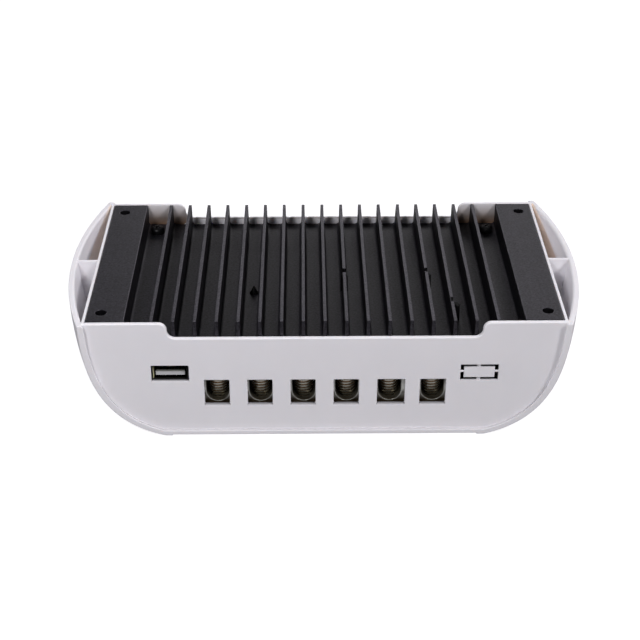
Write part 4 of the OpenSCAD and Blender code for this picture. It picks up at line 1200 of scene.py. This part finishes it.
def band(outer, inner, z0, z1):
    """Flat printed band between two outlines with equal numbers of points."""
    a, b = ccw(outer), ccw(inner)
    n = len(a)
    v = [(x, y, z0) for x, y in a] + [(x, y, z0) for x, y in b] + [(x, y, z1) for x, y in a] + [(x, y, z1) for x, y in b]
    f = []
    for i in range(n):
        j = (i + 1) % n
        f += [(i, j, n + j, n + i), (2 * n + i, 3 * n + i, 3 * n + j, 2 * n + j), (i, 2 * n + i, 2 * n + j, j), (n + i, n + j, 3 * n + j, 3 * n + i)]
    return v, f


P0, P1 = RECESS_D - 0.345, RECESS_D - 0.28
light, mid = [], []
mid.append(band(rrect(LCD_W + 8, LCD_L + 8, 3.0, 8, 0, LCD_Y), rrect(LCD_W + 0.2, LCD_L + 0.2, 1.1, 8, 0, LCD_Y), P0, P1))
light.append(band(rrect(RECESS_W - 4.6, 80.0, 2.2, 8, 0, 8.5), rrect(RECESS_W - 5.2, 79.4, 1.9, 8, 0, 8.5), P0, P1))
for i in range(3):
    light.append(band(ring(KEY_D + 3.2, 64, (i - 1) * KEY_P, KEY_Y), ring(KEY_D + 2.5, 64, (i - 1) * KEY_P, KEY_Y), P0, P1))


def rect(cx, cy, w, h):
    return prism([(cx - w / 2, cy - h / 2), (cx + w / 2, cy - h / 2), (cx + w / 2, cy + h / 2), (cx - w / 2, cy + h / 2)], P0, P1, xy)


iy = -29.6
# panel, battery and lamp pictograms over their pairs of terminals, with plus and minus signs
cx = (TX[0] + TX[1]) / 2
light.append(band(rrect(5.2, 3.6, 0.3, 3, cx, iy), rrect(4.7, 3.1, 0.2, 3, cx, iy), P0, P1))
light += [rect(cx + q, iy, 0.22, 3.2) for q in (-0.85, 0.85)] + [rect(cx - 1.6, iy, 1.1, 0.22), rect(cx, iy, 1.3, 0.22), rect(cx + 1.6, iy, 1.1, 0.22)]
cx = (TX[2] + TX[3]) / 2
light.append(band(rrect(5.4, 3.2, 0.3, 3, cx, iy), rrect(4.8, 2.6, 0.2, 3, cx, iy), P0, P1))
light += [rect(cx - 1.5, iy + 1.9, 1.0, 0.45), rect(cx + 1.5, iy + 1.9, 1.0, 0.45)]
cx = (TX[4] + TX[5]) / 2
light.append(band(ring(3.2, 40, cx, iy + 0.3), ring(2.6, 40, cx, iy + 0.3), P0, P1))
light += [rect(cx, iy - 1.75, 1.3, 0.3), rect(cx, iy - 2.2, 0.9, 0.3)]
for i, x in enumerate(TX):
    yy = -30.0
    light.append(rect(x + (-1 if i % 2 == 0 else 1) * 3.2, yy, 1.8, 0.36))
    if i % 2 == 0:
        light += [rect(x - 3.2, yy + 0.54, 0.36, 0.72), rect(x - 3.2, yy - 0.54, 0.36, 0.72)]
for nm, parts_, mt in (("film_print_light", light, MARK_M), ("film_print_mid", mid, RIM_M)):
    g = make(nm, *merge(parts_), smooth=False)
    bm = bmesh.new(); bm.from_mesh(g.data); bmesh.ops.recalc_face_normals(bm, faces=bm.faces); bm.to_mesh(g.data); bm.free()
    g.data.materials.append(mt)
    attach(g, "housing")

# resting segments of the display: plain seven-segment places, seen faintly through the window
def seg7(cx, cy, h):
    w, t = h * 0.52, h * 0.11
    g = t * 0.28
    out = []
    for sy in (0, h / 2, h):
        out.append([(cx - w / 2 + g, cy + sy), (cx - w / 2 + g + t / 2, cy + sy + t / 2), (cx + w / 2 - g - t / 2, cy + sy + t / 2), (cx + w / 2 - g, cy + sy),
                    (cx + w / 2 - g - t / 2, cy + sy - t / 2), (cx - w / 2 + g + t / 2, cy + sy - t / 2)])
    for sx in (-1, 1):
        for sy in (0, h / 2):
            x = cx + sx * w / 2
            out.append([(x, cy + sy + g), (x + t / 2, cy + sy + g + t / 2), (x + t / 2, cy + sy + h / 2 - g - t / 2), (x, cy + sy + h / 2 - g),
                        (x - t / 2, cy + sy + h / 2 - g - t / 2), (x - t / 2, cy + sy + g + t / 2)])
    return out


segs = []
for i in range(4):
    segs += [prism(p, 3.06, 3.12, xy) for p in seg7(-6 + i * 11.0 - 6.0, LCD_Y - 6.0, 13.0)]
for i in range(3):
    segs += [prism(p, 3.06, 3.12, xy) for p in seg7(-27.5 + i * 5.2, LCD_Y + 9.5, 6.0)]
segs += [prism(rrect(1.2, 1.2, 0.3, 3, 4.6 + 5.4, LCD_Y - 6.0), 3.06, 3.12, xy)]
g = make("lcd_segments", *merge(segs), smooth=False)
g.data.materials.append(SEG_M)
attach(g, "housing")

# ------------------------------------------------------------------ materials of the CAD nodes that stay
KEEP = {
    "lcd_window": WINDOW_M, "key_switches": BLACKPL_M, "lcd_glass": LCD_M, "lcd_frame": BLACKPL_M, "lcd_backlight": GUIDE_M,
    "plunger_menu": BLACKPL_M, "plunger_up": BLACKPL_M, "plunger_down": BLACKPL_M,
    "display_board": BOARD_M, "display_screws": ZINC_M, "board_header": BLACKPL_M, "header_socket": BLACKPL_M, "main_board": BOARD_M,
    "board_standoffs": BRASS_M, "board_screws": ZINC_M, "power_transistors": BLACKPL_M, "insulating_pads": PAD_M,
    "bulk_capacitors": SLEEVE_M, "microcontroller": BLACKPL_M, "current_shunts": COPPER_M, "usb_inductor": FERRITE_M,
}
for nm, m in KEEP.items():
    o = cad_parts[nm]
    if not o.material_slots:
        o.data.materials.append(m)
    for s in o.material_slots:
        s.material = m

# ------------------------------------------------------------------ floor, light and camera
def floor_mat():
    m = Mat("floor_white").set(base=(0.25, 0.25, 0.25), rough=0.75, spec=0.1)
    m.b.inputs["Emission Color"].default_value = (0.985, 0.98, 1.0, 1.0)
    m.b.inputs["Emission Strength"].default_value = 0.92
    m.to("Roughness", m.rng(m.noise(8.0, 2.0), 0.3, 0.7, 0.7, 0.8))
    return m.m


floor = make("floor", [(-4000, -4000, -0.05), (4000, -4000, -0.05), (4000, 4000, -0.05), (-4000, 4000, -0.05)], [(0, 1, 2, 3)], [floor_mat()], smooth=False)
floor.visible_diffuse = False
floor.visible_glossy = False

world = bpy.data.worlds.new("studio")
bpy.context.scene.world = world
world.use_nodes = True
wt = world.node_tree
bg = wt.nodes["Background"]
wc = wt.nodes.new("ShaderNodeTexCoord")
wz = wt.nodes.new("ShaderNodeSeparateXYZ")
wt.links.new(wc.outputs["Generated"], wz.inputs[0])
wr = wt.nodes.new("ShaderNodeValToRGB")
for e, (p, v) in zip([wr.color_ramp.elements[0], wr.color_ramp.elements[1]], ((0.44, 0.30), (0.56, 0.09))):
    e.position, e.color = p, (v * 0.97, v * 0.965, v, 1.0)
wm = wt.nodes.new("ShaderNodeMapRange")
wm.inputs["From Min"].default_value, wm.inputs["From Max"].default_value = -1.0, 1.0
wt.links.new(wz.outputs[2], wm.inputs["Value"])
wt.links.new(wm.outputs[0], wr.inputs["Fac"])
wt.links.new(wr.outputs["Color"], bg.inputs[0])
bg.inputs[1].default_value = 1.0


def area_light(name, loc, target, size, power, color=(1, 1, 1), size_y=None):
    l = bpy.data.lights.new(name, "AREA")
    l.shape = "RECTANGLE"
    l.size, l.size_y = size, size_y or size
    l.energy = power
    l.color = color
    o = bpy.data.objects.new(name, l)
    bpy.context.scene.collection.objects.link(o)
    o.location = loc
    d = Vector(target) - Vector(loc)
    o.rotation_mode = "QUATERNION"
    o.rotation_quaternion = d.to_track_quat("-Z", "Y")
    return o


area_light("right_softbox", (0.88, -0.62, 1.10), (0, 0, 0.03), 0.34, 14.4, (0.985, 0.975, 1.0), 0.34)
area_light("left_softbox", (-0.26, -0.40, 0.49), (-0.01, -0.02, 0.03), 0.17, 2.40, (0.98, 0.975, 1.0), 0.17)
area_light("rear_fill", (-0.30, 1.05, 0.10), (0, 0, 0.02), 0.8, 1.3, (0.985, 0.975, 1.0), 0.14)
area_light("back_wall_fill", (0.15, 0.95, 0.024), (0, 0, 0.024), 0.9, 2.1, (0.985, 0.975, 1.0), 0.04)
area_light("back_sweep", (0.50, 1.25, 0.74), (0, 0, 0.03), 1.5, 3.9, (0.99, 0.975, 1.0), 0.5)

cam = bpy.data.cameras.new("camera")
cam.sensor_width = 36.0
cam.lens = 1391.122 / 640 * 36.0
cam.clip_start, cam.clip_end = 0.01, 20.0
co = bpy.data.objects.new("camera", cam)
bpy.context.scene.collection.objects.link(co)
el, yaw, roll = math.radians(31.0), math.radians(0.697), math.radians(0.083)
fw_ = Vector((math.sin(yaw) * math.cos(el), math.cos(yaw) * math.cos(el), -math.sin(el)))
rt = Vector((math.cos(yaw), -math.sin(yaw), 0))
up = rt.cross(fw_)
r2 = math.cos(roll) * rt + math.sin(roll) * up
u2 = -math.sin(roll) * rt + math.cos(roll) * up
rot = Matrix((r2, u2, -fw_)).transposed()
co.matrix_world = Matrix.Translation((-0.007198, -0.485325, 0.312114)) @ rot.to_4x4()
bpy.context.scene.camera = co

vs_ = bpy.context.scene.view_settings
vs_.view_transform = "Standard"
vs_.look = "None"
vs_.exposure = 0.0
vs_.gamma = 1.0
